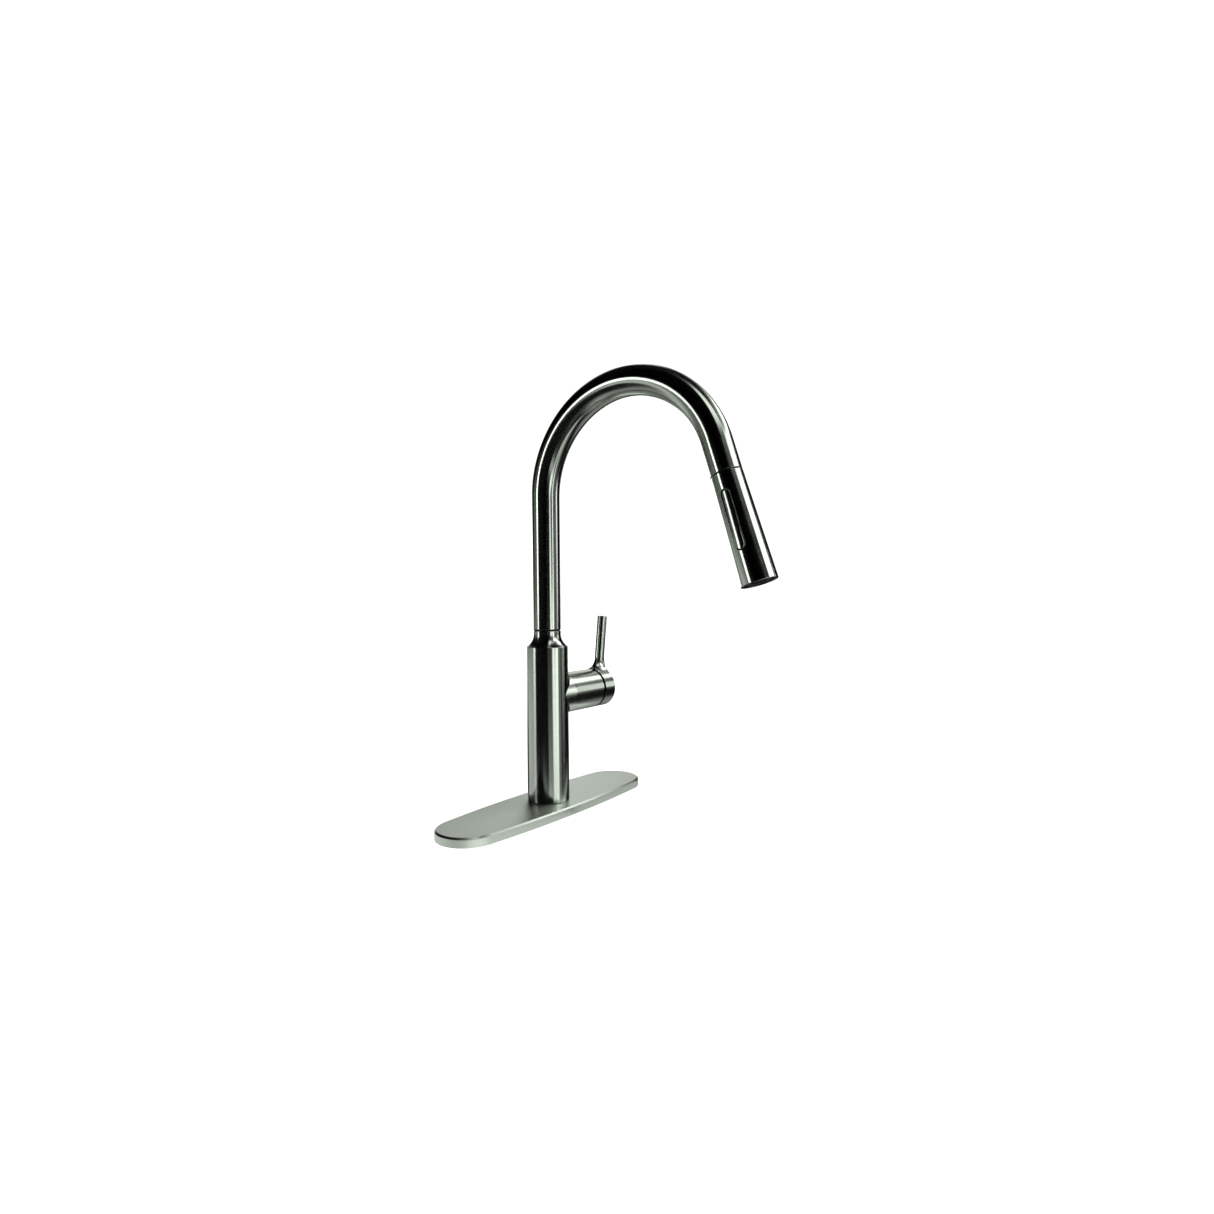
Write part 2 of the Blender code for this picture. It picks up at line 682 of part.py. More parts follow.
def make_handle(looks, handle):
    """The ring and its lever are one piece, hollow behind, with a boss for the stem."""
    back = (0, 0, -STEM_PIVOT_X)
    outline = [
        (0, RING_START),
        (HUB_RADIUS - RING_EDGE, RING_START),
        (HUB_RADIUS, RING_START + RING_EDGE),
        (HUB_RADIUS, RING_END - RING_EDGE),
        (HUB_RADIUS - RING_EDGE, RING_END),
        (0, RING_END),
    ]
    lever = piece("handle_lever", turned(outline, 32), looks["nickel"], handle, back)
    heights = [LEVER_FOOT, HUB_RADIUS - 2 * MM]
    flare_steps = 6
    heights += [HUB_RADIUS + (FLARE_START - HUB_RADIUS) * k / flare_steps for k in range(flare_steps + 1)]
    heights += [LEVER_TOP - 0.5 * MM]
    loops = [lever_loop(height) for height in heights]
    tip = lever_loop(LEVER_TOP)
    centre = sum((Vector(point) for point in tip), Vector()) / len(tip)
    loops.append([centre.lerp(Vector(point), 0.92) for point in tip])
    combine(lever, tool("lever_bar", lofted(loops), handle, back), "UNION")
    cavity = [
        (0, RING_START - 5 * MM),
        (RING_BORE, RING_START - 5 * MM),
        (RING_BORE, RING_CAVITY_END),
        (RING_BOSS_RADIUS, RING_CAVITY_END),
        (RING_BOSS_RADIUS, RING_BOSS_START),
        (0, RING_BOSS_START),
    ]
    half = STEM_SQUARE / 2 + GAP
    socket = block((-half, -half, RING_BOSS_START - MM), (half, half, STEM_END + 0.4 * MM))
    beyond = 1.5 * HUB_RADIUS
    relief = block((0.4 * MM, -beyond, -beyond), (beyond, beyond, 0))
    relief = placed(relief, (0, 0, RING_START), Matrix.Rotation(-RELIEF_ANGLE, 4, "Y"))
    screw_radius = 1.9 * MM
    screw_hole = bar(screw_radius + GAP, (half - MM, 0, SCREW_X), HUB_RADIUS, "X", 16)
    cut(
        lever,
        tool("ring_cavity", turned(cavity, 32, phase=CUTTER_PHASE), handle, back),
        tool("stem_socket", socket, handle, back),
        tool("ring_relief", relief, handle, back),
        tool("screw_hole", screw_hole, handle, back),
    )
    screw = bar(screw_radius, (half + GAP, 0, SCREW_X), 4 * MM, "X", 12)
    piece("handle_set_screw", screw, looks["steel"], handle, back)
    plug = bar(screw_radius, (RING_BORE + GAP, 0, SCREW_X), 2.9 * MM, "X", 16)
    piece("handle_index_plug", plug, looks["grey"], handle, back)


# ---------------------------------------------------------------- spout and hose


def spout_point(distance):
    """A point of the spout's centre line and its direction, by distance from the arch's start."""
    arc = ARCH_RADIUS * ARCH_ANGLE
    if distance < 0:
        return Vector((0, 0, ARCH_START_Z + distance)), Vector((0, 0, 1))
    angle = min(distance, arc) / ARCH_RADIUS
    out = ARCH_RADIUS * (1 - math.cos(angle))
    place = Vector((0, -out, ARCH_START_Z + ARCH_RADIUS * math.sin(angle)))
    direction = Vector((0, -math.sin(angle), math.cos(angle)))
    return place + direction * max(0, distance - arc), direction


def spout_distances(start, stop, arch_steps):
    """Where to put sections: the ends of the straight runs and even steps round the arch."""
    arc = ARCH_RADIUS * ARCH_ANGLE
    return [start] + [arc * k / arch_steps for k in range(arch_steps + 1)] + [stop]


def make_spout(looks, spout):
    """The bent tube, the post that turns in the column's neck, and the clip that keeps it there."""
    arc = ARCH_RADIUS * ARCH_ANGLE
    tube_end = arc + SPOUT_END_STRAIGHT - SEAM_GAP
    distances = spout_distances(TUBE_FOOT - ARCH_START_Z, tube_end, 18)
    around = 20
    loops = []
    for radius, order in ((TUBE_RADIUS, distances), (TUBE_RADIUS - TUBE_WALL, distances[::-1])):
        for distance in order:
            place, direction = spout_point(distance)
            across = Vector((0, direction.z, -direction.y))
            loop = []
            for k in range(around):
                angle = 2 * math.pi * k / around
                side = math.cos(angle) * Vector((1, 0, 0)) + math.sin(angle) * across
                loop.append(place + radius * side)
            loops.append(loop)
    piece("spout_tube", lofted(loops, closed=True), looks["nickel"], spout)
    groove = 8.7 * MM
    groove_low = POST_FOOT + 1.5 * MM
    groove_high = POST_FOOT + 3 * MM
    in_tube = TUBE_RADIUS - TUBE_WALL - GAP
    post = [
        (POST_BORE, POST_FOOT),
        (POST_RADIUS, POST_FOOT),
        (POST_RADIUS, groove_low),
        (groove, groove_low),
        (groove, groove_high),
        (POST_RADIUS, groove_high),
        (POST_RADIUS, TUBE_FOOT),
        (in_tube, TUBE_FOOT),
        (in_tube, POST_TOP),
        (POST_BORE, POST_TOP),
    ]
    piece("spout_post", turned(post), looks["brass"], spout)
    clip_play = 0.25 * MM
    clip = ring(groove + 0.2 * MM, 12.6 * MM, groove_low + clip_play, groove_high - clip_play)
    piece("spout_retaining_clip", turned(clip, 26, math.radians(320)), looks["steel"], spout)


def make_bushings(looks):
    """The glide ring shows as a dark line under the spout; the lower bushing steadies the post."""
    inner = POST_RADIUS + GAP
    sleeve = NECK_BORE - GAP
    sleeve_foot = 150 * MM
    rim = TUBE_RADIUS - 0.5 * MM
    glide_ring = [
        (inner, sleeve_foot),
        (sleeve, sleeve_foot),
        (sleeve, NECK_TOP + GAP),
        (rim, NECK_TOP + GAP),
        (rim, TUBE_FOOT - GAP),
        (inner, TUBE_FOOT - GAP),
    ]
    piece("spout_glide_ring", turned(glide_ring), looks["black"])
    piece("spout_lower_bushing", turned(ring(inner, sleeve, 136 * MM, 146 * MM)), looks["black"])


def make_dock(looks, dock):
    """The guide collar and the magnet that hold the wand in the spout's end."""
    outside = TUBE_RADIUS - TUBE_WALL - GAP
    piece("dock_collar", turned(ring(9 * MM, outside, 5 * MM, 26 * MM)), looks["black"], dock)
    piece("dock_magnet", turned(ring(8.8 * MM, outside, 0.8 * MM, 4.7 * MM)), looks["magnet"], dock)


def make_hose(looks, spout):
    """The spray hose runs from the wand back through the spout, the column and the shank."""
    arc = ARCH_RADIUS * ARCH_ANGLE
    hose_end = arc + SPOUT_END_STRAIGHT - 16 * MM
    distances = spout_distances(HOSE_FOOT - ARCH_START_Z, hose_end, 18)
    points = [spout_point(distance)[0] for distance in distances]
    pipe("spray_hose", points, HOSE_RADIUS, looks["hose"], spout, 3)
    low = HOSE_FOOT - 4 * MM
    high = low + 18 * MM
    outside = 7.5 * MM
    connector = [
        (0, low),
        (outside, low),
        (outside, high),
        (HOSE_RADIUS + GAP, high),
        (HOSE_RADIUS + GAP, HOSE_FOOT - GAP),
        (0, HOSE_FOOT - GAP),
    ]
    piece("hose_quick_connector", turned(connector, 24), looks["grey"], spout)


# ---------------------------------------------------------------- wand


def below(outline):
    """Turns depths below the seam into heights in the wand frame."""
    return [(radius, -depth) for radius, depth in outline]


def wand_radius(depth):
    return TUBE_RADIUS + (WAND_END_RADIUS - TUBE_RADIUS) * depth / WAND_LENGTH


def make_wand_shell(looks, wand):
    """The tapered outer shell, open at both ends, with the rocker's slot in its -X side."""
    inner_top = 12.1 * MM
    edge = 0.4 * MM
    outline = [
        (inner_top, SEAM_GAP),
        (wand_radius(0) - edge, SEAM_GAP),
        (wand_radius(edge), SEAM_GAP + edge),
        (wand_radius(WAND_LENGTH), WAND_LENGTH - edge),
        (wand_radius(WAND_LENGTH) - edge, WAND_LENGTH),
        (WAND_END_RADIUS - WAND_WALL, WAND_LENGTH),
        (inner_top, 3 * MM),
    ]
    shell = piece("wand_shell", turned(below(outline), 32), looks["nickel"], wand)
    slot = oblong(SLOT_LENGTH, SLOT_WIDTH, -WAND_END_RADIUS - 5 * MM, -8 * MM)
    cut(shell, tool("rocker_slot", slot, wand, (0, 0, -ROCKER_MIDDLE)))


def make_wand_top(looks, wand):
    """The keeper ring that the magnet holds, the neck that carries it, and the check valve below."""
    keeper = ring(8.7 * MM, 11.8 * MM, 0.6 * MM, 2.4 * MM)
    piece("wand_keeper_ring", turned(below(keeper)), looks["steel"], wand)
    bore = 6.3 * MM
    sleeve = 8.4 * MM
    flange = 11.7 * MM
    flange_top = 2.7 * MM
    flange_foot = 5.5 * MM
    chamfer = 1.5 * MM
    neck = [
        (bore, -NECK_RISE),
        (sleeve - MM, -NECK_RISE),
        (sleeve, chamfer - NECK_RISE),
        (sleeve, flange_top),
        (flange, flange_top),
        (flange, flange_foot),
        (sleeve, flange_foot),
        (sleeve, WATERWAY_TOP - GAP),
        (bore, WATERWAY_TOP - GAP),
    ]
    piece("wand_neck", turned(below(neck)), looks["black"], wand)
    opening = 1.6 * MM
    body = WATERWAY_BORE - GAP
    top, shoulder, foot = 9 * MM, 18 * MM, 20 * MM
    check = [(opening, top), (body, top), (body, shoulder), (2 * opening, foot), (opening, foot)]
    piece("check_valve", turned(below(check), 24), looks["grey"], wand)


def make_waterway(looks, wand):
    """The tube down the wand's middle, with two ears for the rocker's pin and a hole for the plunger."""
    wall = 7 * MM
    flange = 13 * MM
    flange_top = 80 * MM
    foot = 83.5 * MM
    waterway = [
        (WATERWAY_BORE, WATERWAY_TOP),
        (wall, WATERWAY_TOP),
        (wall, flange_top),
        (flange, flange_top),
        (flange, foot),
        (WATERWAY_BORE, foot),
    ]
    tube = piece("wand_waterway", turned(below(waterway)), looks["white"], wand)
    ear_inner = 4.3 * MM
    ear_outer = 5.6 * MM
    ear_half = 2.8 * MM
    for side, word in ((-1, "front"), (1, "rear")):
        sides = sorted((side * ear_inner, side * ear_outer))
        low = (-11.2 * MM, sides[0], -ROCKER_MIDDLE - ear_half)
        high = (-3.5 * MM, sides[1], -ROCKER_MIDDLE + ear_half)
        combine(tube, tool(f"ear_{word}", block(low, high), wand), "UNION")
    pin_spot = (-ROCKER_PIN_DEPTH, 0, -ROCKER_MIDDLE)
    pin_half = ear_outer - 0.2 * MM
    pin_hole = bar(ROCKER_PIN_RADIUS + GAP, (0, -9 * MM, 0), 18 * MM, "Y", 12)
    plunger_hole = bar(PLUNGER_RADIUS + GAP, (-9 * MM, 0, -PLUNGER_DEPTH), 9 * MM, "X", 16)
    cut(
        tube,
        tool("ear_holes", pin_hole, wand, pin_spot),
        tool("waterway_bore", hole(WATERWAY_BORE, -foot - 6 * MM, -4 * MM), wand),
        tool("plunger_hole", plunger_hole, wand),
    )
    pin = bar(ROCKER_PIN_RADIUS, (0, -pin_half, 0), 2 * pin_half, "Y", 12)
    piece("rocker_pin", pin, looks["steel"], wand, pin_spot)


def make_spray_end(looks, wand):
    """The spray face round the aerator, and the dark ring that holds them."""
    aerator_radius = 6 * MM
    face_radius = 11.6 * MM
    face_top = 86.5 * MM
    face_low = 91.6 * MM
    inner = aerator_radius + GAP
    face = [
        (inner, face_top),
        (face_radius, face_top),
        (face_radius, face_low - 0.6 * MM),
        (face_radius - 1.5 * MM, face_low),
        (inner, face_low),
    ]
    piece("spray_face", turned(below(face)), looks["rubber"], wand)
    aerator = ring(0, aerator_radius, face_top - 2 * MM, face_low - 0.8 * MM)
    piece("aerator", turned(below(aerator), 24), looks["grey"], wand)
    rim = ring(face_radius + GAP, 13.2 * MM, 84 * MM, face_low + MM)
    piece("face_ring", turned(below(rim)), looks["black"], wand)


def make_rocker(looks, rocker):
    """The oblong button: its face follows the shell, and a boss under it turns on the pin."""
    pin_to_axis = (ROCKER_PIN_DEPTH, 0, 0)
    length = SLOT_LENGTH - 2 * SLOT_CLEARANCE
    width = SLOT_WIDTH - 2 * SLOT_CLEARANCE
    blank = oblong(length, width, -WAND_END_RADIUS - 3 * MM, -10.9 * MM)
    button = piece("rocker_button", blank, looks["nickel"], rocker, pin_to_axis)
    recess = 0.35 * MM
    top = ROCKER_MIDDLE - length / 2 - 5 * MM
    bottom = ROCKER_MIDDLE + length / 2 + 5 * MM
    face = [
        (0, ROCKER_MIDDLE - bottom),
        (wand_radius(bottom) - recess, ROCKER_MIDDLE - bottom),
        (wand_radius(top) - recess, ROCKER_MIDDLE - top),
        (0, ROCKER_MIDDLE - top),
    ]
    shell_side = turned(face, 48, phase=CUTTER_PHASE / 2)
    combine(button, tool("rocker_face", shell_side, rocker, pin_to_axis), "INTERSECT")
    boss_width = 6.8 * MM
    boss_height = 5.2 * MM
    boss_low = (-11.6 * MM, -boss_width / 2, -boss_height / 2)
    boss_high = (-7.4 * MM, boss_width / 2, boss_height / 2)
    combine(button, tool("rocker_boss", block(boss_low, boss_high), rocker, pin_to_axis), "UNION")
    pin_hole = bar(ROCKER_PIN_RADIUS + GAP, (0, -boss_width, 0), 2 * boss_width, "Y", 12)
    cut(button, tool("rocker_pin_hole", pin_hole, rocker))


def make_diverter(looks, diverter):
    """The plunger that the rocker pushes across the waterway, and its seal."""
    plunger = bar(PLUNGER_RADIUS, (-11.2 * MM, 0, 0), 13.4 * MM, "X", 16)
    piece("diverter_plunger", plunger, looks["white"], diverter)
    seal = placed(torus(3 * MM, 0.6 * MM, 0, 16, 6), (-1.5 * MM, 0, 0), Matrix.Rotation(math.pi / 2, 4, "Y"))
    piece("plunger_seal", seal, looks["rubber"], diverter)


# ---------------------------------------------------------------- assembly


def clear_scene():
    for old in list(bpy.data.objects):
        bpy.data.objects.remove(old, do_unlink=True)


def main():
    clear_scene()
    looks = make_finishes()
    hub_turn = (0, math.pi / 2, 0)
    hub = pivot("hub_frame", (0, 0, HUB_Z), hub_turn)
    mixer = pivot("mixer_pivot", (STEM_PIVOT_X, 0, HUB_Z), hub_turn)
    disc_slide = pivot("disc_slide", parent=mixer)
    handle = pivot("handle_pivot", parent=mixer)
    spout = pivot("spout_pivot")
    seam, _ = spout_point(ARCH_RADIUS * ARCH_ANGLE + SPOUT_END_STRAIGHT)
    dock = pivot("dock_frame", seam, (-WAND_LEAN, 0, 0), spout)
    hose_end = pivot("hose_end_slide", seam, (-WAND_LEAN, 0, 0), spout)
    wand = pivot("wand_pivot", parent=hose_end)
    rocker = pivot("rocker_pivot", (-ROCKER_PIN_DEPTH, 0, -ROCKER_MIDDLE), (0, ROCKER_TILT, 0), wand)
    diverter = pivot("diverter_slide", (0, 0, -PLUNGER_DEPTH), (0, 0, 0), wand)

    make_deck_plate(looks)
    make_fastening(looks)
    make_supplies(looks)
    make_column(looks, hub)
    make_bushings(looks)
    make_valve_body(looks, hub)
    make_cartridge_housing(looks, hub)
    make_mixer(looks, hub, mixer)
    make_moving_disc(looks, disc_slide)
    make_stem(looks, handle)
    make_handle(looks, handle)
    make_spout(looks, spout)
    make_dock(looks, dock)
    make_hose(looks, spout)
    swivel = ring(0, 5.9 * MM, -15.7 * MM, 7.5 * MM)
    piece("hose_swivel_fitting", turned(below(swivel), 24), looks["steel"], hose_end)
    make_wand_shell(looks, wand)
    make_wand_top(looks, wand)
    make_waterway(looks, wand)
    make_spray_end(looks, wand)
    make_rocker(looks, rocker)
    make_diverter(looks, diverter)


main()
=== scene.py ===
"""Looks of the pull-down kitchen faucet: fine surfaces, finishes, studio light and camera.

Lengths are metres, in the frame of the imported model: the origin is on the deck at the column's
axis, +Z is up, +X points along the branch to the handle, and -Y points over the sink.
"""

import json
import math

import bmesh
import bpy
from mathutils import Matrix, Vector


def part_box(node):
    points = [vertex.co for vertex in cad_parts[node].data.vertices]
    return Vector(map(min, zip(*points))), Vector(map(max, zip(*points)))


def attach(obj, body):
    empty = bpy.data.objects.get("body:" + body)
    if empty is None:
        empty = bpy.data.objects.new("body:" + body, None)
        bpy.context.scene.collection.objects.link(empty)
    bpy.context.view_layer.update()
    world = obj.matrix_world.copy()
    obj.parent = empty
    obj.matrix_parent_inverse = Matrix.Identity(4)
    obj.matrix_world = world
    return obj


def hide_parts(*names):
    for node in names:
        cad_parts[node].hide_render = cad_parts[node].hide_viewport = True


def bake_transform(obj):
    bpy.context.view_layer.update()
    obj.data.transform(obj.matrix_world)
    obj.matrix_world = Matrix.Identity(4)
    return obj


MM = 0.001
WELD = 0.001 * MM  # points of one piece that are nearer than this are the same point
FULL = 2 * math.pi
AROUND = 96  # faces round the column, the spout and the wand

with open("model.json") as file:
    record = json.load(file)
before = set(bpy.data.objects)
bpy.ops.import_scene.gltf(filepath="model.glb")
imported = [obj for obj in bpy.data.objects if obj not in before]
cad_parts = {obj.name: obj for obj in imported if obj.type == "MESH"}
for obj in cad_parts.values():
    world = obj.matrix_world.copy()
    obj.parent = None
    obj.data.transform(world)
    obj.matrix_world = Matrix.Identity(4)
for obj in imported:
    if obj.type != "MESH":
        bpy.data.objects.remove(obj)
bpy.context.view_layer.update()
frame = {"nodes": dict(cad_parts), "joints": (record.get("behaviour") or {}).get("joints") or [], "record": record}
joints = {joint["name"]: joint for joint in frame["joints"]}


# ---------------------------------------------------------------- sizes, from the frame

column_low, column_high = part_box("body_column")
COLUMN_RADIUS = -column_low.x
COLUMN_FOOT = column_low.z
NECK_TOP = column_high.z
BRANCH_END = column_high.x
HUB = Vector(joints["handle_turn"]["pos_m"])
ring_low, lever_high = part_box("handle_lever")
HUB_RADIUS = HUB.z - ring_low.z
RING_START = ring_low.x
LEVER_TOP = lever_high.z
tube_low, tube_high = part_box("spout_tube")
TUBE_RADIUS = tube_high.x
TUBE_FOOT = tube_low.z
plate_low, plate_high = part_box("deck_plate")
PLATE_LENGTH = plate_high.x - plate_low.x
PLATE_WIDTH = plate_high.y - plate_low.y
PLATE_TOP = plate_high.z
SEAM = Vector(joints["wand_turn"]["pos_m"])
WAND_DOWN = Vector(joints["wand_pull"]["axis"]).normalized()
WAND_LEAN = math.atan2(-WAND_DOWN.y, -WAND_DOWN.z)
PIN = Vector(joints["rocker_tilt"]["pos_m"])

# Sizes that no single box gives
SHOULDER_Z = 158.6 * MM
COVE_HEIGHT = 12 * MM
NECK_BORE = 11.3 * MM
BODY_BORE = 16.3 * MM
BODY_BORE_TOP = 133.6 * MM
BRANCH_BORE = 16.8 * MM
BRANCH_BORE_START = 24 * MM
FILLET = 4.5 * MM
RING_END = 85.4 * MM
RING_BORE = 16.6 * MM
RING_CAVITY_END = 81 * MM
RELIEF = math.tan(math.radians(5))
LEVER_RADIUS = 5.1 * MM
LEVER_BASE_X = 80 * MM
LEVER_LEAN = math.radians(7.5)
FLARE_RADIUS = 14 * MM
TUBE_WALL = 1.2 * MM
ARCH_START_Z = 302.5 * MM
ARCH_RADIUS = 95.5 * MM
ARCH_ANGLE = math.pi - WAND_LEAN
SPOUT_END_STRAIGHT = 28.2 * MM
SEAM_GAP = 0.45 * MM
WAND_LENGTH = 93 * MM
WAND_END_RADIUS = 15.3 * MM
WAND_WALL = 1.6 * MM
SLOT_LENGTH = 51.5 * MM
SLOT_WIDTH = 8.4 * MM
SLOT_CLEARANCE = 0.5 * MM
ROCKER_MIDDLE = 40.2 * MM
ROCKER_TILT = math.radians(2.5)
PLATE_END_RADIUS = 29.5 * MM
PLATE_WALL = 1.2 * MM
PLATE_BEVEL = 1.5 * MM
PLATE_HOLE = 17.1 * MM


# ---------------------------------------------------------------- mesh tools


class Skin:
    """Patches of one surface. Points that coincide are welded, and each corner keeps its own normal."""

    def __init__(self, matrix=None):
        self.matrix = matrix or Matrix.Identity(4)
        self.turn = self.matrix.to_3x3()
        self.points = []
        self.index = {}
        self.faces = []
        self.normals = []

    def corner(self, place):
        key = tuple(round(value / WELD) for value in place)
        if key not in self.index:
            self.index[key] = len(self.points)
            self.points.append(place)
        return self.index[key]

    def face(self, corners):
        """A face from (place, normal) corners, turned to face the way its normals do."""
        kept = []
        for place, normal in corners:
            number = self.corner(self.matrix @ Vector(place))
            if number not in [k for k, _ in kept]:
                kept.append((number, (self.turn @ Vector(normal)).normalized()))
        if len(kept) < 3:
            return
        first, second, third = (self.points[kept[k][0]] for k in (0, 1, 2))
        across = (second - first).cross(third - first)
        if len(kept) > 3:
            across += (third - first).cross(self.points[kept[3][0]] - first)
        if across.length < 1e-16:
            return
        if across.dot(sum((normal for _, normal in kept), Vector())) < 0:
            kept.reverse()
        self.faces.append([number for number, _ in kept])
        self.normals += [normal for _, normal in kept]

    def grid(self, rows):
        """Faces between neighbouring rows of (place, normal) points."""
        for here, there in zip(rows, rows[1:]):
            for k in range(len(here) - 1):
                self.face((here[k], here[k + 1], there[k + 1], there[k]))

    def fan(self, row, centre):
        """A flat or domed cap from a row to one (place, normal) centre."""
        for k in range(len(row) - 1):
            self.face((row[k], row[k + 1], centre))

    def face_outwards(self):
        """Turns every face the way its neighbours face, with its normals in the same order."""
        shape = bmesh.new()
        corners = [shape.verts.new(point) for point in self.points]
        shape.verts.index_update()
        made = [shape.faces.new([corners[number] for number in face]) for face in self.faces]
        bmesh.ops.recalc_face_normals(shape, faces=made)
        start = 0
        for k, face in enumerate(self.faces):
            stop = start + len(face)
            now = [corner.index for corner in made[k].verts]
            if now.index(face[1]) != (now.index(face[0]) + 1) % len(face):
                self.faces[k] = face[::-1]
                self.normals[start:stop] = self.normals[start:stop][::-1]
            start = stop
        shape.free()

    def build(self, name, material):
        """The finished piece, as an object."""
        self.face_outwards()
        mesh = bpy.data.meshes.new(name)
        mesh.from_pydata(self.points, [], self.faces)
        mesh.shade_smooth()
        mesh.normals_split_custom_set(self.normals)
        mesh.materials.append(material)
        made = bpy.data.objects.new(name, mesh)
        bpy.context.scene.collection.objects.link(made)
        return made


def circle(steps, start=0.0):
    """Angles all round, with the last the same as the first."""
    return [start + FULL * (k % steps) / steps for k in range(steps + 1)]


def ray(angle):
    """The unit vector at an angle from +X towards +Y."""
    return Vector((math.cos(angle), math.sin(angle), 0))


def spread(start, stop, steps):
    return [start + (stop - start) * k / steps for k in range(steps + 1)]


def mixed(near, far, share):
    """Numbers at share of the way from near to far, and exactly far at 1."""
    return [(1 - share) * here + share * there for here, there in zip(near, far)]


def slerp(first, second, share):
    """A unit vector between two unit vectors, by share of the angle."""
    first, second = Vector(first), Vector(second)
    angle = math.acos(max(-1.0, min(1.0, first.dot(second))))
    if angle < 1e-6:
        return first
    return (math.sin((1 - share) * angle) * first + math.sin(share * angle) * second) / math.sin(angle)


def outline(corners, closed=False, steps=4, stops=()):
    """(radius, height, normal) points along a line through (radius, height, edge) corners, each rounded by
    its edge radius. The solid is on the left of the line. stops are heights that get a point of their own."""
    count = len(corners)
    places = [Vector(corner[:2]) for corner in corners]
    sides = []
    for k in range(count if closed else count - 1):
        along = (places[(k + 1) % count] - places[k]).normalized()
        sides.append(Vector((along.y, -along.x)))
    points = []
    for k, (_, _, edge) in enumerate(corners):
        if not closed and k in (0, count - 1):
            points.append((places[k], sides[min(k, count - 2)]))
            continue
        before, after = sides[k - 1], sides[k % count]
        middle = (before + after).normalized()
        sign = 1 if before.x * after.y > before.y * after.x else -1
        centre = places[k] - sign * middle * edge / middle.dot(before)
        for j in range(steps + 1):
            normal = Vector(slerp((*before, 0), (*after, 0), j / steps)[:2])
            points.append((centre + sign * normal * edge, normal))
    if closed:
        points.append(points[0])
    full = []
    for (place, normal), (target, _) in zip(points, points[1:]):
        full.append((*place, normal))
        low, high = sorted((place.y, target.y))
        for stop in sorted((stop for stop in stops if low < stop < high), reverse=target.y < place.y):
            share = (stop - place.y) / (target.y - place.y)
            full.append((place.x + share * (target.x - place.x), stop, normal))
    return [*full, (*points[-1][0], points[-1][1])]


def turn_row(angles, radius, height, normal):
    """One ring of a turned shape about Z."""
    row = []
    for angle in angles:
        cosine, sine = math.cos(angle), math.sin(angle)
        row.append(((radius * cosine, radius * sine, height), (normal.x * cosine, normal.x * sine, normal.y)))
    return row


def turned(skin, points, steps=AROUND):
    skin.grid([turn_row(circle(steps), *point) for point in points])


def hang(skin, name, material, slot, body, *nodes):
    """Finishes a piece and hangs it on its body, in place of nodes of the frame."""
    made = skin.build(name, material)
    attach(made, body)
    if nodes:
        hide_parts(*nodes)


# ---------------------------------------------------------------- column

WINDOW_STEPS = 12  # faces up half of each side of a window in the column's or the wand's skin
WINDOW_HALF = 30 * MM  # half the height of the column's window, which holds the branch
BODY_EASE = 0.4 * MM  # rounding of the shoulder's edge and of the branch's end


def window_edge(middle, half):
    """(turn, height) round a window that takes up a tube's whole girth: up the cut at its back, round the
    top, down the cut, round the foot and up again."""
    edge = [(math.pi, rise) for rise in spread(0, half, WINDOW_STEPS)[:-1]]
    edge += [(turn, half) for turn in spread(math.pi, -math.pi, AROUND)[:-1]]
    edge += [(-math.pi, rise) for rise in spread(half, 0, WINDOW_STEPS)[:-1]]
    edge += [(-turn, -rise) for turn, rise in edge]
    return [(turn, middle + rise) for turn, rise in edge + edge[:1]]


def cove_outline():
    """The concave shoulder: a circular arc from the column's edge that ends upright at the neck."""
    step_in = COLUMN_RADIUS - TUBE_RADIUS
    turn = 2 * math.atan2(step_in, COVE_HEIGHT)
    radius = COVE_HEIGHT / math.sin(turn)
    points = []
    for angle in spread(turn, 0, 20):
        across = TUBE_RADIUS + radius * (1 - math.cos(angle))
        height = SHOULDER_Z + COVE_HEIGHT - radius * math.sin(angle)
        points.append((across, height, ray(angle).xy))
    return points


def fillet_ball(angle):
    """Centre of a ball that rolls round the branch's root, touching column and branch."""
    along = (HUB_RADIUS + FILLET) * math.cos(angle)
    reach = math.sqrt((COLUMN_RADIUS + FILLET) ** 2 - along**2)
    return Vector((reach, along, HUB.z + (HUB_RADIUS + FILLET) * math.sin(angle)))


def on_column(turn, height):
    normal = ray(turn)
    return COLUMN_RADIUS * normal + Vector((0, 0, height)), normal


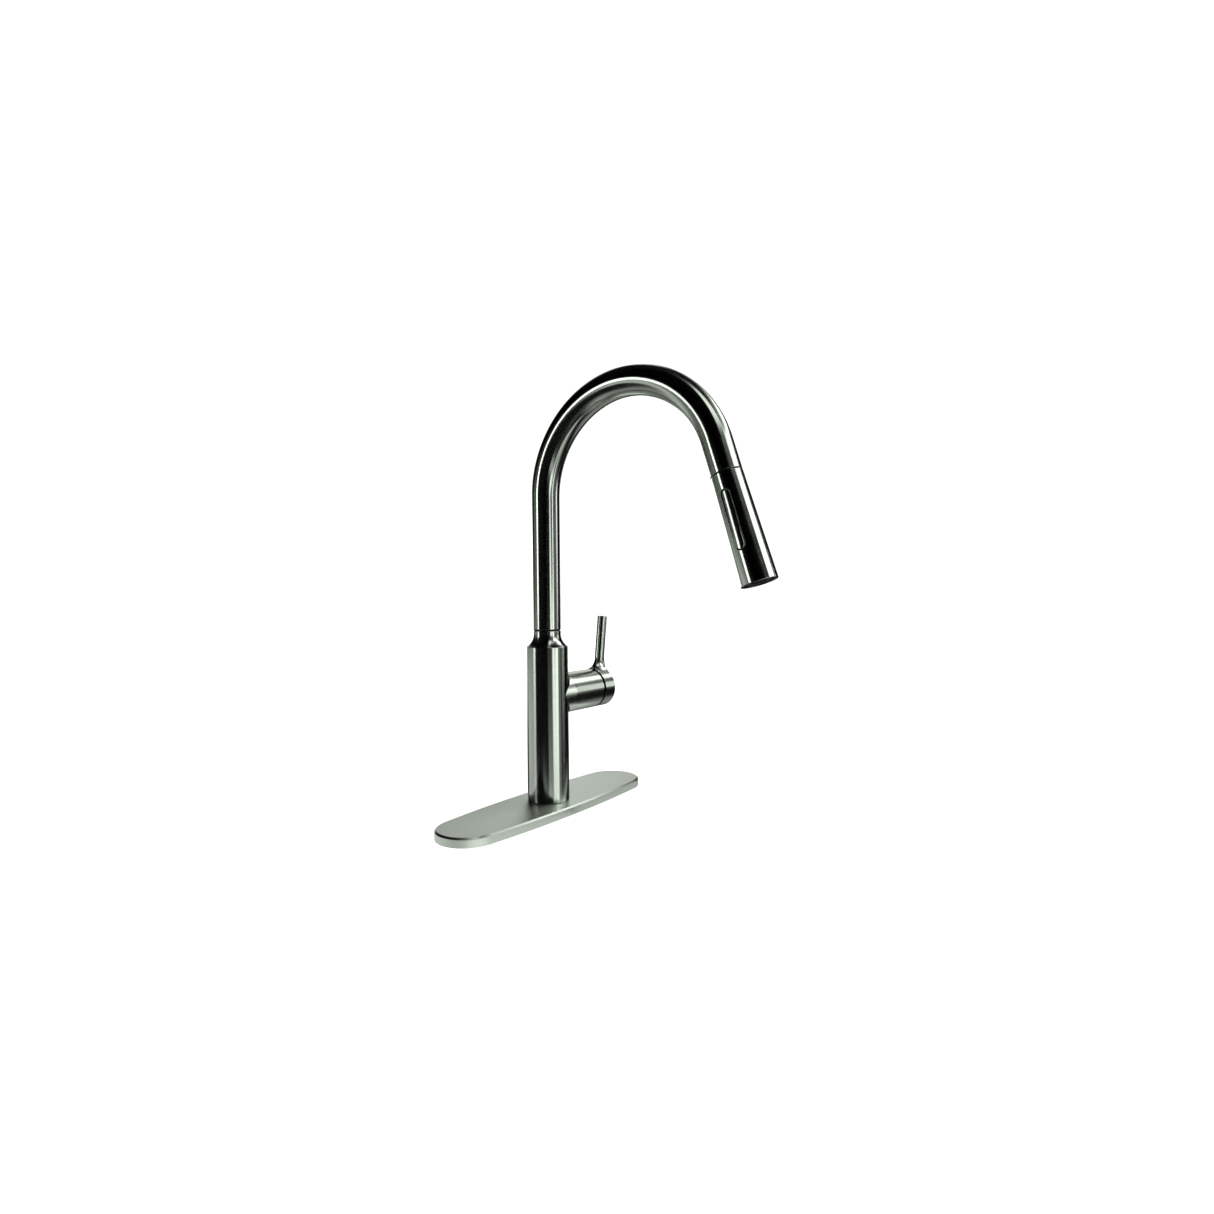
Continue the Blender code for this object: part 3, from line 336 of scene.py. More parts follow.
def make_column(material):
    """Column and branch in one, with a rolled fillet between them."""
    skin = Skin()
    edge = window_edge(HUB.z, WINDOW_HALF)
    angles = circle(len(edge) - 1)
    balls = [fillet_ball(angle) for angle in angles]
    root = [(math.atan2(ball.y, ball.x), ball.z) for ball in balls]
    rows = []
    for share in spread(0, 1, 18):
        rows.append([on_column(*mixed(near, far, share)) for near, far in zip(root, edge)])
    skin.grid(rows)

    # fillet and branch
    branch = [Vector((0, math.cos(angle), math.sin(angle))) for angle in angles]
    rows = []
    for share in spread(0, 1, 12):
        row = []
        for ball, side in zip(balls, branch):
            towards = slerp(Vector((-ball.x, -ball.y, 0)).normalized(), -side, share)
            row.append((ball + FILLET * towards, -towards))
        rows.append(row)
    lip = [(HUB_RADIUS, BRANCH_BORE_START, 0), (HUB_RADIUS, BRANCH_END, BODY_EASE)]
    lip += [(BRANCH_BORE, BRANCH_END, 0.3 * MM), (BRANCH_BORE, BRANCH_BORE_START, 0)]
    axis = Vector((1, 0, 0))
    for radius, along, normal in outline(lip)[1:]:
        middle = Vector((along, 0, HUB.z))
        rows.append([(middle + radius * side, normal.x * side + normal.y * axis) for side in branch])
    skin.grid(rows)
    skin.fan([(place, axis) for place, _ in rows[-1]], ((BRANCH_BORE_START, 0, HUB.z), axis))

    # the rest of the column: up the outside, down the bore, and back up to the window
    side = [(COLUMN_RADIUS, HUB.z + WINDOW_HALF, 0), (COLUMN_RADIUS, SHOULDER_Z - BODY_EASE, 0)]
    cove = cove_outline()
    shoulder = []
    for share in spread(0, 1, 4):
        normal = Vector(slerp((1, 0, 0), (*cove[0][2], 0), share)[:2])
        place = (COLUMN_RADIUS - BODY_EASE * (1 - normal.x), SHOULDER_Z - BODY_EASE * (1 - share**2))
        shoulder.append((*place, normal))
    neck = [(TUBE_RADIUS, cove[-1][1], 0), (TUBE_RADIUS, NECK_TOP, 0.3 * MM), (NECK_BORE, NECK_TOP, 0.2 * MM)]
    neck += [(NECK_BORE, BODY_BORE_TOP, 0), (BODY_BORE, BODY_BORE_TOP, 0), (BODY_BORE, COLUMN_FOOT, 0.2 * MM)]
    neck += [(COLUMN_RADIUS, COLUMN_FOOT, 0.5 * MM), (COLUMN_RADIUS, HUB.z - WINDOW_HALF, 0)]
    turned(skin, outline(side) + shoulder + cove[1:] + outline(neck, steps=3)[1:])
    hang(skin, "column_and_branch", material, "brushed_nickel", "base", "body_column")


# ---------------------------------------------------------------- spout

SPOUT_ARC = ARCH_RADIUS * ARCH_ANGLE


def spout_point(distance):
    """A point of the spout's centre line and its direction, by distance from the arch's start."""
    if distance < 0:
        return Vector((0, 0, ARCH_START_Z + distance)), Vector((0, 0, 1))
    angle = min(distance, SPOUT_ARC) / ARCH_RADIUS
    out = ARCH_RADIUS * (1 - math.cos(angle))
    place = Vector((0, -out, ARCH_START_Z + ARCH_RADIUS * math.sin(angle)))
    direction = Vector((0, -math.sin(angle), math.cos(angle)))
    return place + direction * max(0, distance - SPOUT_ARC), direction


def swept(skin, points, steps):
    """An outline of (radius, distance, normal) swept round the spout's centre line."""
    rows = []
    for radius, distance, normal in points:
        place, direction = spout_point(distance)
        across = Vector((0, direction.z, -direction.y))
        row = []
        for angle in circle(steps):
            side = math.cos(angle) * Vector((1, 0, 0)) + math.sin(angle) * across
            row.append((place + radius * side, normal.x * side + normal.y * direction))
        rows.append(row)
    skin.grid(rows)


def make_spout(material):
    foot = TUBE_FOOT - ARCH_START_Z
    end = SPOUT_ARC + SPOUT_END_STRAIGHT - SEAM_GAP
    inner = TUBE_RADIUS - TUBE_WALL
    corners = [(TUBE_RADIUS, foot, 0.3 * MM), (TUBE_RADIUS, end, 0.3 * MM)]
    corners += [(inner, end, 0.2 * MM), (inner, foot, 0.2 * MM)]
    skin = Skin()
    swept(skin, outline(corners, closed=True, stops=[*spread(0, SPOUT_ARC, 120), foot / 2]), AROUND)
    hang(skin, "gooseneck", material, "brushed_nickel", "spout", "spout_tube")


# ---------------------------------------------------------------- wand

WAND = Matrix.Translation(SEAM) @ Matrix.Rotation(-WAND_LEAN, 4, "X")
WAND_TAPER = (WAND_END_RADIUS - TUBE_RADIUS) / WAND_LENGTH
SLOT_MARGIN = 3 * MM  # from the slot's ends to the edge of its window in the shell
SLOT_ROLL = 0.35 * MM  # rounding of the slot's rim
ROCKER_ROLL = 0.8 * MM  # rounding of the button's rim
ROCKER_RECESS = 0.35 * MM  # from the shell's side in to the button's
ROCKER_BACK = -10.9 * MM


def wand_radius(height):
    return TUBE_RADIUS - WAND_TAPER * height


def wand_surface(turn, height, inset=0.0):
    """A point of the shell by its angle from -X, and the normal of the slightly tapered side."""
    side = Vector((-math.cos(turn), math.sin(turn), 0))
    normal = (side + Vector((0, 0, WAND_TAPER))).normalized()
    return (wand_radius(height) - inset) * side + Vector((0, 0, height)), normal


def wand_turn(across, height, inset=0.0):
    """The angle from -X of the point at y = across."""
    return math.asin(across / (wand_radius(height) - inset))


def on_wand(across, height, inset=0.0):
    """The point of the shell's -X side at y = across, and the shell's normal there."""
    return wand_surface(wand_turn(across, height, inset), height, inset)


def oblong(length, width, side_steps, end_steps):
    """(y, z, outward normal) round a straight-sided slot, starting at the middle of its +Y side. side_steps
    is for half a side."""
    radius = width / 2
    straight = length / 2 - radius
    half = [(radius, height, Vector((1, 0))) for height in spread(0, straight, side_steps)[:-1]]
    for angle in spread(0, math.pi, end_steps)[:-1]:
        normal = ray(angle).xy
        half.append((radius * normal.x, straight + radius * normal.y, normal))
    half += [(-radius, height, Vector((-1, 0))) for height in spread(straight, 0, side_steps)[:-1]]
    return half + [(-across, -height, -normal) for across, height, normal in half] + half[:1]


def rolled_rim(start, sides, sign, roll, steps):
    """Rows that carry a rim on the wand's -X side round by a quarter turn and into the wand: towards the
    middle of the rim if sign is -1, away from it if sign is 1."""
    rows = []
    for angle in spread(0, math.pi / 2, steps):
        sine, cosine = sign * math.sin(angle), math.cos(angle)
        row = []
        for (place, outward), away in zip(start, sides):
            moved = place + roll * sine * away + roll * (1 - cosine) * Vector((1, 0, 0))
            row.append((moved, cosine * outward + sine * away))
        rows.append(row)
    return rows


def slot_window(skin, slot, edge, inset, grow, sign):
    """The shell between the slot, made wider by grow, and the window's edge. sign is -1 for its inside."""
    near = []
    for across, height, normal in slot:
        level = height - ROCKER_MIDDLE + grow * normal.y
        near.append((wand_turn(across + grow * normal.x, level, inset), level))
    rows = []
    for share in spread(0, 1, 22):
        row = [wand_surface(*mixed(here, there, share), inset) for here, there in zip(near, edge)]
        rows.append([(place, sign * normal) for place, normal in row])
    skin.grid(rows)


def make_wand(material):
    """The shell, with a slot for the rocker whose rim is rolled inwards."""
    skin = Skin(WAND)
    half = SLOT_LENGTH / 2 + SLOT_MARGIN
    edge = window_edge(-ROCKER_MIDDLE, half)
    slot = oblong(SLOT_LENGTH, SLOT_WIDTH, WINDOW_STEPS, AROUND)
    slot_window(skin, slot, edge, 0, SLOT_ROLL, 1)
    slot_window(skin, slot, edge, WAND_WALL, 0, -1)

    sides = [Vector((0, *normal)) for _, _, normal in slot]
    start = []
    for across, height, normal in slot:
        start.append(on_wand(across + SLOT_ROLL * normal.x, height - ROCKER_MIDDLE + SLOT_ROLL * normal.y))
    rows = rolled_rim(start, sides, -1, SLOT_ROLL, 4)
    skin.grid(rows)
    wall = [(place, -side) for (place, _), side in zip(rows[-1], sides)]
    inside = [on_wand(across, height - ROCKER_MIDDLE, WAND_WALL)[0] for across, height, _ in slot]
    skin.grid([wall, [(place, -side) for place, side in zip(inside, sides)]])

    low, high = -ROCKER_MIDDLE - half, -ROCKER_MIDDLE + half
    top, end, wall = -SEAM_GAP, -WAND_LENGTH, WAND_WALL
    upper = [(0, high, 0), (0, top, 0.4 * MM), (wall, top, 0.2 * MM), (wall, high, 0)]
    lower = [(wall, low, 0), (wall, end, 0.3 * MM), (0, end, 0.5 * MM), (0, low, 0)]
    for line in (upper, lower):
        corners = [(wand_radius(height) - inset, height, ease) for inset, height, ease in line]
        skin.grid([turn_row(circle(AROUND, math.pi), *point) for point in outline(corners)])
    hang(skin, "wand_body", material, "brushed_nickel", "wand", "wand_shell")


def make_rocker(material):
    """The oblong button, tilted to its rest position about its pin."""
    lean, tilt = Matrix.Rotation(-WAND_LEAN, 4, "X"), Matrix.Rotation(ROCKER_TILT, 4, "Y")
    skin = Skin(Matrix.Translation(PIN) @ lean @ tilt @ Matrix.Translation(-(WAND.inverted() @ PIN)))
    length, width = SLOT_LENGTH - 2 * SLOT_CLEARANCE, SLOT_WIDTH - 2 * SLOT_CLEARANCE
    rim = oblong(length, width, WINDOW_STEPS, 48)
    straight = (length - width) / 2
    spine = [(0, max(-straight, min(straight, height))) for _, height, _ in rim]
    roll = ROCKER_ROLL
    inside = [(across - roll * normal.x, height - roll * normal.y) for across, height, normal in rim]
    rows = []
    for share in spread(0, 1, 8):
        spots = [mixed(near, far, share) for near, far in zip(spine, inside)]
        rows.append([on_wand(across, height - ROCKER_MIDDLE, ROCKER_RECESS) for across, height in spots])
    rows += rolled_rim(rows[-1], [Vector((0, *normal)) for _, _, normal in rim], 1, roll, 6)[1:]
    rows.append([(Vector((ROCKER_BACK, place.y, place.z)), normal) for place, normal in rows[-1]])
    skin.grid(rows)
    back = Vector((1, 0, 0))
    middle = [(Vector((ROCKER_BACK, 0, height - ROCKER_MIDDLE)), back) for _, height in spine]
    skin.grid([[(place, back) for place, _ in rows[-1]], middle])
    hang(skin, "spray_rocker", material, "brushed_nickel", "rocker", "rocker_button")


# ---------------------------------------------------------------- deck plate


def plate_edge(end_steps=24, side_steps=40):
    """(place, normal) round the plate: two small end arcs joined by two large side arcs."""
    half_width = PLATE_WIDTH / 2
    end = PLATE_END_RADIUS
    reach = PLATE_LENGTH / 2 - end
    side = (reach**2 + half_width**2 - end**2) / (2 * (half_width - end))
    side_centre = half_width - side
    joint = math.atan2(-side_centre, reach)
    points = []
    for x, y, radius, start, stop, steps in (
        (reach, 0, end, -joint, joint, end_steps),
        (0, side_centre, side, joint, math.pi - joint, side_steps),
        (-reach, 0, end, math.pi - joint, math.pi + joint, end_steps),
        (0, -side_centre, side, math.pi + joint, FULL - joint, side_steps),
    ):
        for angle in spread(start, stop, steps)[:-1]:
            points.append((Vector((x, y, 0)) + radius * ray(angle), ray(angle)))
    return points + points[:1]


def make_plate(material):
    """The cover plate: a thin shell with a bevelled edge, open below, with a hole for the shank."""
    skin = Skin()
    rim = plate_edge()
    up = Vector((0, 0, 1))
    outer = [(-PLATE_WALL, 0, 0.1 * MM), (0, 0, 0.25 * MM), (0, PLATE_TOP - PLATE_BEVEL, 0.35 * MM)]
    outer += [(-PLATE_BEVEL, PLATE_TOP, 0.35 * MM), (-2 * PLATE_BEVEL, PLATE_TOP, 0)]
    rows = []
    for inset, height, normal in outline(outer)[1:]:
        row = []
        for place, side in rim:
            row.append((place + inset * side + height * up, normal.x * side + normal.y * up))
        rows.append(row)
    spokes = [place.normalized() for place, _ in rim]
    ceiling = PLATE_TOP - PLATE_WALL
    brim, hole = [[PLATE_HOLE * spoke + height * up for spoke in spokes] for height in (PLATE_TOP, ceiling)]
    foot = [place - PLATE_WALL * side for place, side in rim]
    inside = [place + ceiling * up for place in foot]
    skin.grid([*rows, [(place, up) for place in brim]])
    down = [-up] * len(rim)
    for first, second, normals in (
        (brim, hole, [-spoke for spoke in spokes]),
        (hole, inside, down),
        (inside, foot, [-side for _, side in rim]),
        (foot, [place for place, _ in rows[0]], down),
    ):
        skin.grid([list(zip(first, normals)), list(zip(second, normals))])
    hang(skin, "cover_plate", material, "brushed_nickel", "base", "deck_plate")


# ---------------------------------------------------------------- handle

LEAN = Vector((math.sin(LEVER_LEAN), 0, math.cos(LEVER_LEAN)))
LEVER_ACROSS = Vector((math.cos(LEVER_LEAN), 0, -math.sin(LEVER_LEAN)))
LEVER_BASE = Vector((LEVER_BASE_X, 0, HUB.z))
EASE = 0.4 * MM  # rounding of the ring's edges and of the lever's top
RING_FACE_RADIUS = HUB_RADIUS - EASE
FRONT_SLOPE = 0.35  # how far the flare may pass the ring's front, per length above the ring


def lever_line(angle, share):
    """A point on the lever's side and its normal. share runs from -1 at the lever's top, down the straight
    bar to 0, then round the flare to 1 on the ring."""
    side = math.cos(angle) * LEVER_ACROSS + math.sin(angle) * Vector((0, 1, 0))
    reach = LEVER_RADIUS + FLARE_RADIUS
    rise = math.sqrt((HUB_RADIUS + FLARE_RADIUS) ** 2 - (reach * math.sin(angle)) ** 2)
    along = (rise - reach * side.z) / LEAN.z
    if share <= 0:
        top = (LEVER_TOP - EASE - HUB.z) / LEAN.z
        return LEVER_BASE + (along + (top - along) * -share) * LEAN + LEVER_RADIUS * side, side
    ball = LEVER_BASE + along * LEAN + reach * side
    down = Vector((0, HUB.y - ball.y, HUB.z - ball.z)).normalized()
    towards = slerp(-side, down, share)
    return ball + FLARE_RADIUS * towards, -towards


def flare_stop(angle, share):
    """What the flare has run out on at a point of its side: the ring's back, its front, or nothing yet."""
    place, _ = lever_line(angle, share)
    if place.x < RING_START + EASE:
        return "back"
    front = RING_END - EASE + FRONT_SLOPE * max(0, place.z - HUB.z - HUB_RADIUS)
    return "front" if place.x > front else None


def last_inside(near, far, inside):
    """The last value from near towards far for which inside(value) is true, by halving."""
    for _ in range(40):
        middle = (near + far) / 2
        near, far = (middle, far) if inside(middle) else (near, middle)
    return near


def lever_end(angle):
    """Where the lever's side stops, as a share for lever_line, and on what."""
    reached = -1.0
    for share in spread(-1, 1, 400):
        stop = flare_stop(angle, share)
        if stop:
            return last_inside(reached, share, lambda value: not flare_stop(angle, value)), stop
        reached = share
    return 1.0, None


def change_angle(start, stop):
    """The angle between two where the lever's side starts to stop on something else."""
    first = lever_end(start)[1]
    return last_inside(start, stop, lambda angle: lever_end(angle)[1] == first)


def rolled(row, towards, steps=4):
    """Rows that carry a surface's edge round into a flat face with normal towards."""
    rows = []
    for angle in spread(0, math.pi / 2, steps):
        sine, cosine = math.sin(angle), math.cos(angle)
        made = []
        for place, normal in row:
            inwards = (normal - normal.dot(towards) * towards).normalized()
            moved = place - EASE * (1 - cosine) * inwards + EASE * sine * towards
            made.append((moved, (cosine * normal + sine * towards).normalized()))
        rows.append(made)
    return rows


def lever_side(skin, angles, whole):
    """A stretch of the lever's side, down to the ring if it is whole or to where it stops, and its foot."""
    rows = []
    for angle in angles:
        stop = 1.0 if whole else lever_end(angle)[0]
        straight = min(stop, 0)
        flare = spread(0, stop, 18)[1:] if stop > 0 else [straight] * 18
        rows.append([lever_line(angle, share) for share in spread(-1, straight, 6) + flare])
    skin.grid(rows)
    return [row[-1] for row in rows]


def make_handle(material):
    """The ring and the lever that flares out of it, in one."""
    skin = Skin()
    # the lever's side stops at the ring's front up to the angle right, and at its back from the angle left
    right = change_angle(math.radians(60), math.radians(95))
    left = change_angle(math.radians(95), math.radians(170))
    front, flank = spread(-right, right, 40), spread(right, left, 16)
    back, other = spread(left, FULL - left, 40), spread(FULL - left, FULL - right, 16)
    front_foot = lever_side(skin, front, False)
    flank_foot = lever_side(skin, flank, True)
    back_foot = lever_side(skin, back, False)
    lever_side(skin, other, True)
    tip = rolled([lever_line(angle, -1) for angle in front + flank[1:] + back[1:] + other[1:]], LEAN)
    skin.grid(tip)
    up = Vector((0, 0, 1))
    centre = sum((place for place, _ in tip[-1]), Vector()) / len(tip[-1])
    skin.fan([(place, up) for place, _ in tip[-1]], (centre, up))

    # the ring's own round side: from the flare's edge at +Y, under the hub, to its edge at -Y
    rows = []
    first, last = RING_START + EASE, RING_END - EASE
    for place, _ in flank_foot:
        start = math.atan2(place.z - HUB.z, place.y)
        row = []
        for turn in spread(start, -math.pi - start, 72):
            side = Vector((0, math.cos(turn), math.sin(turn)))
            cut_back = max(0, -side.z) * HUB_RADIUS * RELIEF
            x = place.x + cut_back * (last - place.x) / (last - first)
            row.append((Vector((x, 0, HUB.z)) + HUB_RADIUS * side, side))
        rows.append(row)
    skin.grid(rows)

    ahead = Vector((1, 0, 0))
    close_ring(skin, front_foot[:-1] + rows[0], ahead, RING_END)
    close_ring(skin, back_foot + rows[-1][-2::-1], -ahead, RING_START, RING_BORE)
    hang(skin, "lever_handle", material, "brushed_nickel", "handle", "handle_lever")


def close_ring(skin, loop, towards, plane, bore=0):
    """Closes one end of the ring: a rolled edge, the flat face, and the cavity behind it if it has a bore.
    The end with the bore is cut back below the hub's axis."""
    rows = rolled(loop, towards)
    skin.grid(rows)
    rolled_edge = [place for place, _ in rows[-1]]
    sides = [Vector((0, place.y - HUB.y, place.z - HUB.z)).normalized() for place in rolled_edge]

    def circle_at(radius, depth=None):
        places = []
        for side in sides:
            relief = max(0, -side.z) * radius * RELIEF if bore else 0
            x = plane + relief if depth is None else depth
            places.append(Vector((x, 0, HUB.z)) + radius * side)
        return places

    def faced(places, normals):
        return list(zip(places, normals))

    flat = [towards] * len(sides)
    inner = bore or RING_FACE_RADIUS / 2
    face = (rolled_edge, circle_at(RING_FACE_RADIUS), circle_at(inner))
    skin.grid([faced(places, flat) for places in face])
    if bore:
        walls = [-side for side in sides]
        skin.grid([faced(circle_at(bore), walls), faced(circle_at(bore, RING_CAVITY_END), walls)])
        plane = RING_CAVITY_END
    skin.fan(faced(circle_at(inner, plane), flat), ((plane, 0, HUB.z), towards))


# ---------------------------------------------------------------- small parts, in millimetres


def in_metres(corners):
    return [tuple(value * MM for value in corner) for corner in corners]


def turned_piece(looks, name, slot, body, node, corners, matrix=None, steps=64):
    """A turned solid from one closed outline in millimetres, in place of a node of the frame."""
    skin = Skin(matrix)
    turned(skin, outline(in_metres(corners), closed=True), steps)
    hang(skin, name, looks[slot], slot, body, node)


def ring_corners(inner, outer, low, high, edge=0.3):
    return [(outer, low, edge), (outer, high, edge), (inner, high, edge), (inner, low, edge)]


def box_size(node):
    """Radius, foot and top of an upright round node in millimetres, and a matrix that stands on its axis."""
    low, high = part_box(node)
    middle = (low + high) / 2
    return (high.x - low.x) / 2 / MM, low.z / MM, high.z / MM, Matrix.Translation((middle.x, middle.y, 0))


def capped(skin, rows, first_normal):
    """A bar through rows of points, closed by a flat cap at each end."""
    skin.grid(rows)
    for row, normal in ((rows[0], first_normal), (rows[-1], -first_normal)):
        centre = sum((place for place, _ in row[:-1]), Vector()) / (len(row) - 1)
        skin.fan([(place, normal) for place, _ in row], (centre, normal))


def make_glide_ring(looks):
    """The dark ring between neck and spout."""
    rim, low, high, _ = box_size("spout_glide_ring")
    inner, sleeve = 9.8, 11
    step = NECK_TOP / MM + 0.3
    corners = [(sleeve, low, 0.2), (sleeve, step, 0.05), (rim, step, 0.15), (rim, high, 0.15)]
    corners += [(inner, high, 0.1), (inner, low, 0.2)]
    turned_piece(looks, "glide_ring", "black_plastic", "base", "spout_glide_ring", corners, steps=96)


def make_index_plug(looks):
    """The low dome that closes the set screw's hole, under the ring."""
    low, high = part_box("handle_index_plug")
    matrix = Matrix.Translation(((low.x + high.x) / 2, 0, HUB.z)) @ Matrix.Rotation(math.pi, 4, "X")
    surface, radius, depth = HUB_RADIUS / MM, 1.9, 3
    dome = [(radius, surface - depth, 0), (radius, surface - 0.05, 0.1), (1.2, surface + 0.12, 0.6)]
    dome += [(0, surface + 0.15, 0), (0, surface - depth, 0)]
    turned_piece(looks, "index_plug", "grey_plastic", "handle", "handle_index_plug", dome, matrix)


def make_dock(looks):
    """The collar and magnet in the spout's end, and the ring, neck and fitting that dock in them. Heights
    are above the seam, along the wand."""
    outside = (TUBE_RADIUS - TUBE_WALL) / MM - 0.3
    collar = ring_corners(9, outside, 5, 26)
    collar = [(*corner[:2], edge) for corner, edge in zip(collar, (0.2, 0.3, 0.8, 0.8))]
    sleeve, flange, bore = 8.4, 11.7, 6.3
    neck = [(sleeve, -8, 0), (sleeve, -5.5, 0.2), (flange, -5.5, 0.3), (flange, -2.7, 0.1)]
    neck += [(sleeve, -2.7, 0.1), (sleeve, 11.5, 0.8), (sleeve - 1.2, 14, 0.4), (bore, 14, 0.3)]
    neck += [(bore, -8, 0)]
    hose, groove = 5.9, 5.2
    fitting = [(hose, -7.5, 0.3), (hose, 12.5, 0.3), (groove, 13.2, 0.2), (hose, 13.9, 0.3)]
    fitting += [(hose, 15.7, 0.4), (0, 15.7, 0), (0, -7.5, 0)]
    for name, slot, body, node, corners in (
        ("docking_collar", "black_plastic", "spout", "dock_collar", collar),
        ("docking_magnet", "magnet", "spout", "dock_magnet", ring_corners(8.8, outside, -0.1, 4.7)),
        ("keeper_ring", "steel", "wand", "wand_keeper_ring", ring_corners(8.7, 11.8, -2.4, -0.3, 0.2)),
        ("docking_neck", "black_plastic", "wand", "wand_neck", neck),
        ("swivel_fitting", "steel", "hose_end", "hose_swivel_fitting", fitting),
    ):
        turned_piece(looks, name, slot, body, node, corners, WAND)


FACE_RADIUS = 11.6
FACE_LOW = -91.6  # the face's height above the seam, along the wand
AERATOR_RADIUS = 6
SCREEN_HEIGHT = FACE_LOW + 0.8


def make_spray_face(looks):
    """The dark rubber face, a ring round the aerator."""
    low, top, inner = FACE_LOW, FACE_LOW + 5.1, AERATOR_RADIUS + 0.3
    face = [(FACE_RADIUS - 1.5, low, 0.3), (FACE_RADIUS, low + 0.6, 0.3), (FACE_RADIUS, top, 0.1)]
    face += [(inner, top, 0.1), (inner, low, 0.3)]
    turned_piece(looks, "spray_face_ring", "rubber", "wand", "spray_face", face, WAND)


def make_nozzles(looks):
    """Two rings of soft nozzles round the aerator."""
    hole, tip, base, low = 0.25, 0.6, 0.8, FACE_LOW
    nub = [(0, low + 1, 0), (0, low - 0.15, 0), (hole, low - 0.15, 0.05), (hole, low - 0.8, 0.05)]
    nub += [(tip, low - 0.8, 0.15), (base, low, 0.1), (base, low + 1, 0)]
    rows = [turn_row(circle(12), *point) for point in outline(in_metres(nub), closed=True, steps=2)]
    for word, count, pitch in (("inner", 15, 7.7 * MM), ("outer", 21, 9.6 * MM)):
        skin = Skin(WAND)
        for k in range(count):
            spot = pitch * ray(FULL * k / count)
            skin.grid([[(Vector(place) + spot, normal) for place, normal in row] for row in rows])
        hang(skin, f"nozzles_{word}", looks["nozzle"], "rubber", "wand")


def make_aerator(looks):
    """The aerator's cup, and the fine screen in it."""
    low, top, screen_radius = SCREEN_HEIGHT, SCREEN_HEIGHT + 6.3, 4.9
    cup = [(0, low + 1, 0), (screen_radius, low + 1, 0.1), (screen_radius, low, 0.3)]
    cup += [(AERATOR_RADIUS, low, 0.3), (AERATOR_RADIUS, top, 0.2), (0, top, 0)]
    turned_piece(looks, "aerator_cup", "grey_plastic", "wand", "aerator", cup, WAND)
    skin = Skin(WAND)
    reach, wire, pitch = 4.8 * MM, 0.22 * MM, 1.25 * MM
    for across in spread(-3 * pitch, 3 * pitch, 6):
        half = math.sqrt(reach**2 - across**2)
        for turn in (0, 1):
            screen_wire(skin, half, wire, across, (low + 0.35 + 0.3 * turn) * MM, turn)
    hang(skin, "aerator_screen", looks["steel"], "steel", "wand")


def make_face_rim(looks):
    """The dark rim round the face, a little lower than it."""
    low, top = FACE_LOW - 1, FACE_LOW + 7.6
    rim = [(13.2, low, 0.5), (13.2, top, 0.2), (11.9, top, 0.2), (11.9, low, 0.5)]
    turned_piece(looks, "face_rim", "black_plastic", "wand", "face_ring", rim, WAND)


def screen_wire(skin, half, radius, across, height, turn):
    """One straight wire of the screen, along X, or along Y if turn is 1."""
    sides = [Vector((0, math.cos(angle), math.sin(angle))) for angle in circle(8)]
    ends = [Vector((along, across, height)) for along in (-half, half)]
    rows = [[(end + radius * side, side) for side in sides] for end in ends]
    if turn:
        rows = [[(place.yxz, side.yxz) for place, side in row] for row in rows]
    capped(skin, rows, Vector((0, -1, 0)) if turn else Vector((-1, 0, 0)))


HOSE_RADIUS = 5.5 * MM
HOSE_TOP = 16 * MM  # where the hose ends, above the seam
HOSE_STRETCH = 8 * MM  # the length of the hose's short end, which lies on the wand's axis


def make_hose(looks):
    """The spray hose: a long run that stays in the spout, and a short end on the wand's axis."""
    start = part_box("spray_hose")[0].z - ARCH_START_Z
    meeting = SPOUT_ARC + SPOUT_END_STRAIGHT - HOSE_TOP - HOSE_STRETCH
    corners = [(HOSE_RADIUS, start, 0.5 * MM), (HOSE_RADIUS, meeting, 0), (0, meeting, 0), (0, start, 0)]
    skin = Skin()
    swept(skin, outline(corners, closed=True, stops=spread(0, SPOUT_ARC, 100)), 48)
    hang(skin, "spray_hose_run", looks["braided_hose"], "braided_hose", "spout", "spray_hose")

    skin = Skin(WAND)
    foot, top = HOSE_TOP, HOSE_TOP + HOSE_STRETCH
    corners = [(HOSE_RADIUS, foot, 0), (HOSE_RADIUS, top, 0), (0, top, 0), (0, foot, 0)]
    turned(skin, outline(corners, closed=True, stops=spread(foot, top, 160)[1:-1]), 48)
    end = skin.build("spray_hose_end", looks["pulled_hose"])
    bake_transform(end)

    node = "hose_quick_connector"
    _, low, high, _ = box_size(node)
    outside, waist, bore = 7.5, 5.5, HOSE_RADIUS / MM + 0.1
    corners = [(waist, low, 0.4), (waist, low + 4, 0.2), (outside, low + 5, 0.5), (outside, high - 3, 0.5)]
    corners += [(outside - 1.2, high, 0.4), (bore, high, 0.1), (bore, low + 5, 0)]
    corners += [(0, low + 5, 0), (0, low, 0)]
    turned_piece(looks, "quick_connector", "grey_plastic", "spout", node, corners)


THREAD_SHADE = 0.6  # how much of the thread's slope its normals show


def threaded(skin, radius, low, high, depth=0.55 * MM, pitch=1.5 * MM, steps=72):
    """The outside of a screw thread that fades out at both ends."""
    per_turn = 8
    rows = []
    count = round((high - low) / pitch * per_turn)
    for k, height in enumerate(spread(low, high, count)):
        fade = max(0, min(1, (height - low) / pitch, (high - height) / pitch))
        row = []
        for j, angle in enumerate(circle(steps)):
            phase = (k / per_turn - (j % steps) / steps) % 1
            groove = 1 - abs(2 * phase - 1)
            slope = depth * fade * 2 / pitch * (1 if phase < 0.5 else -1)
            place = (radius - depth * fade * groove) * ray(angle) + Vector((0, 0, height))
            row.append((place, (ray(angle) + Vector((0, 0, THREAD_SHADE * slope))).normalized()))
        rows.append(row)
    skin.grid(rows)


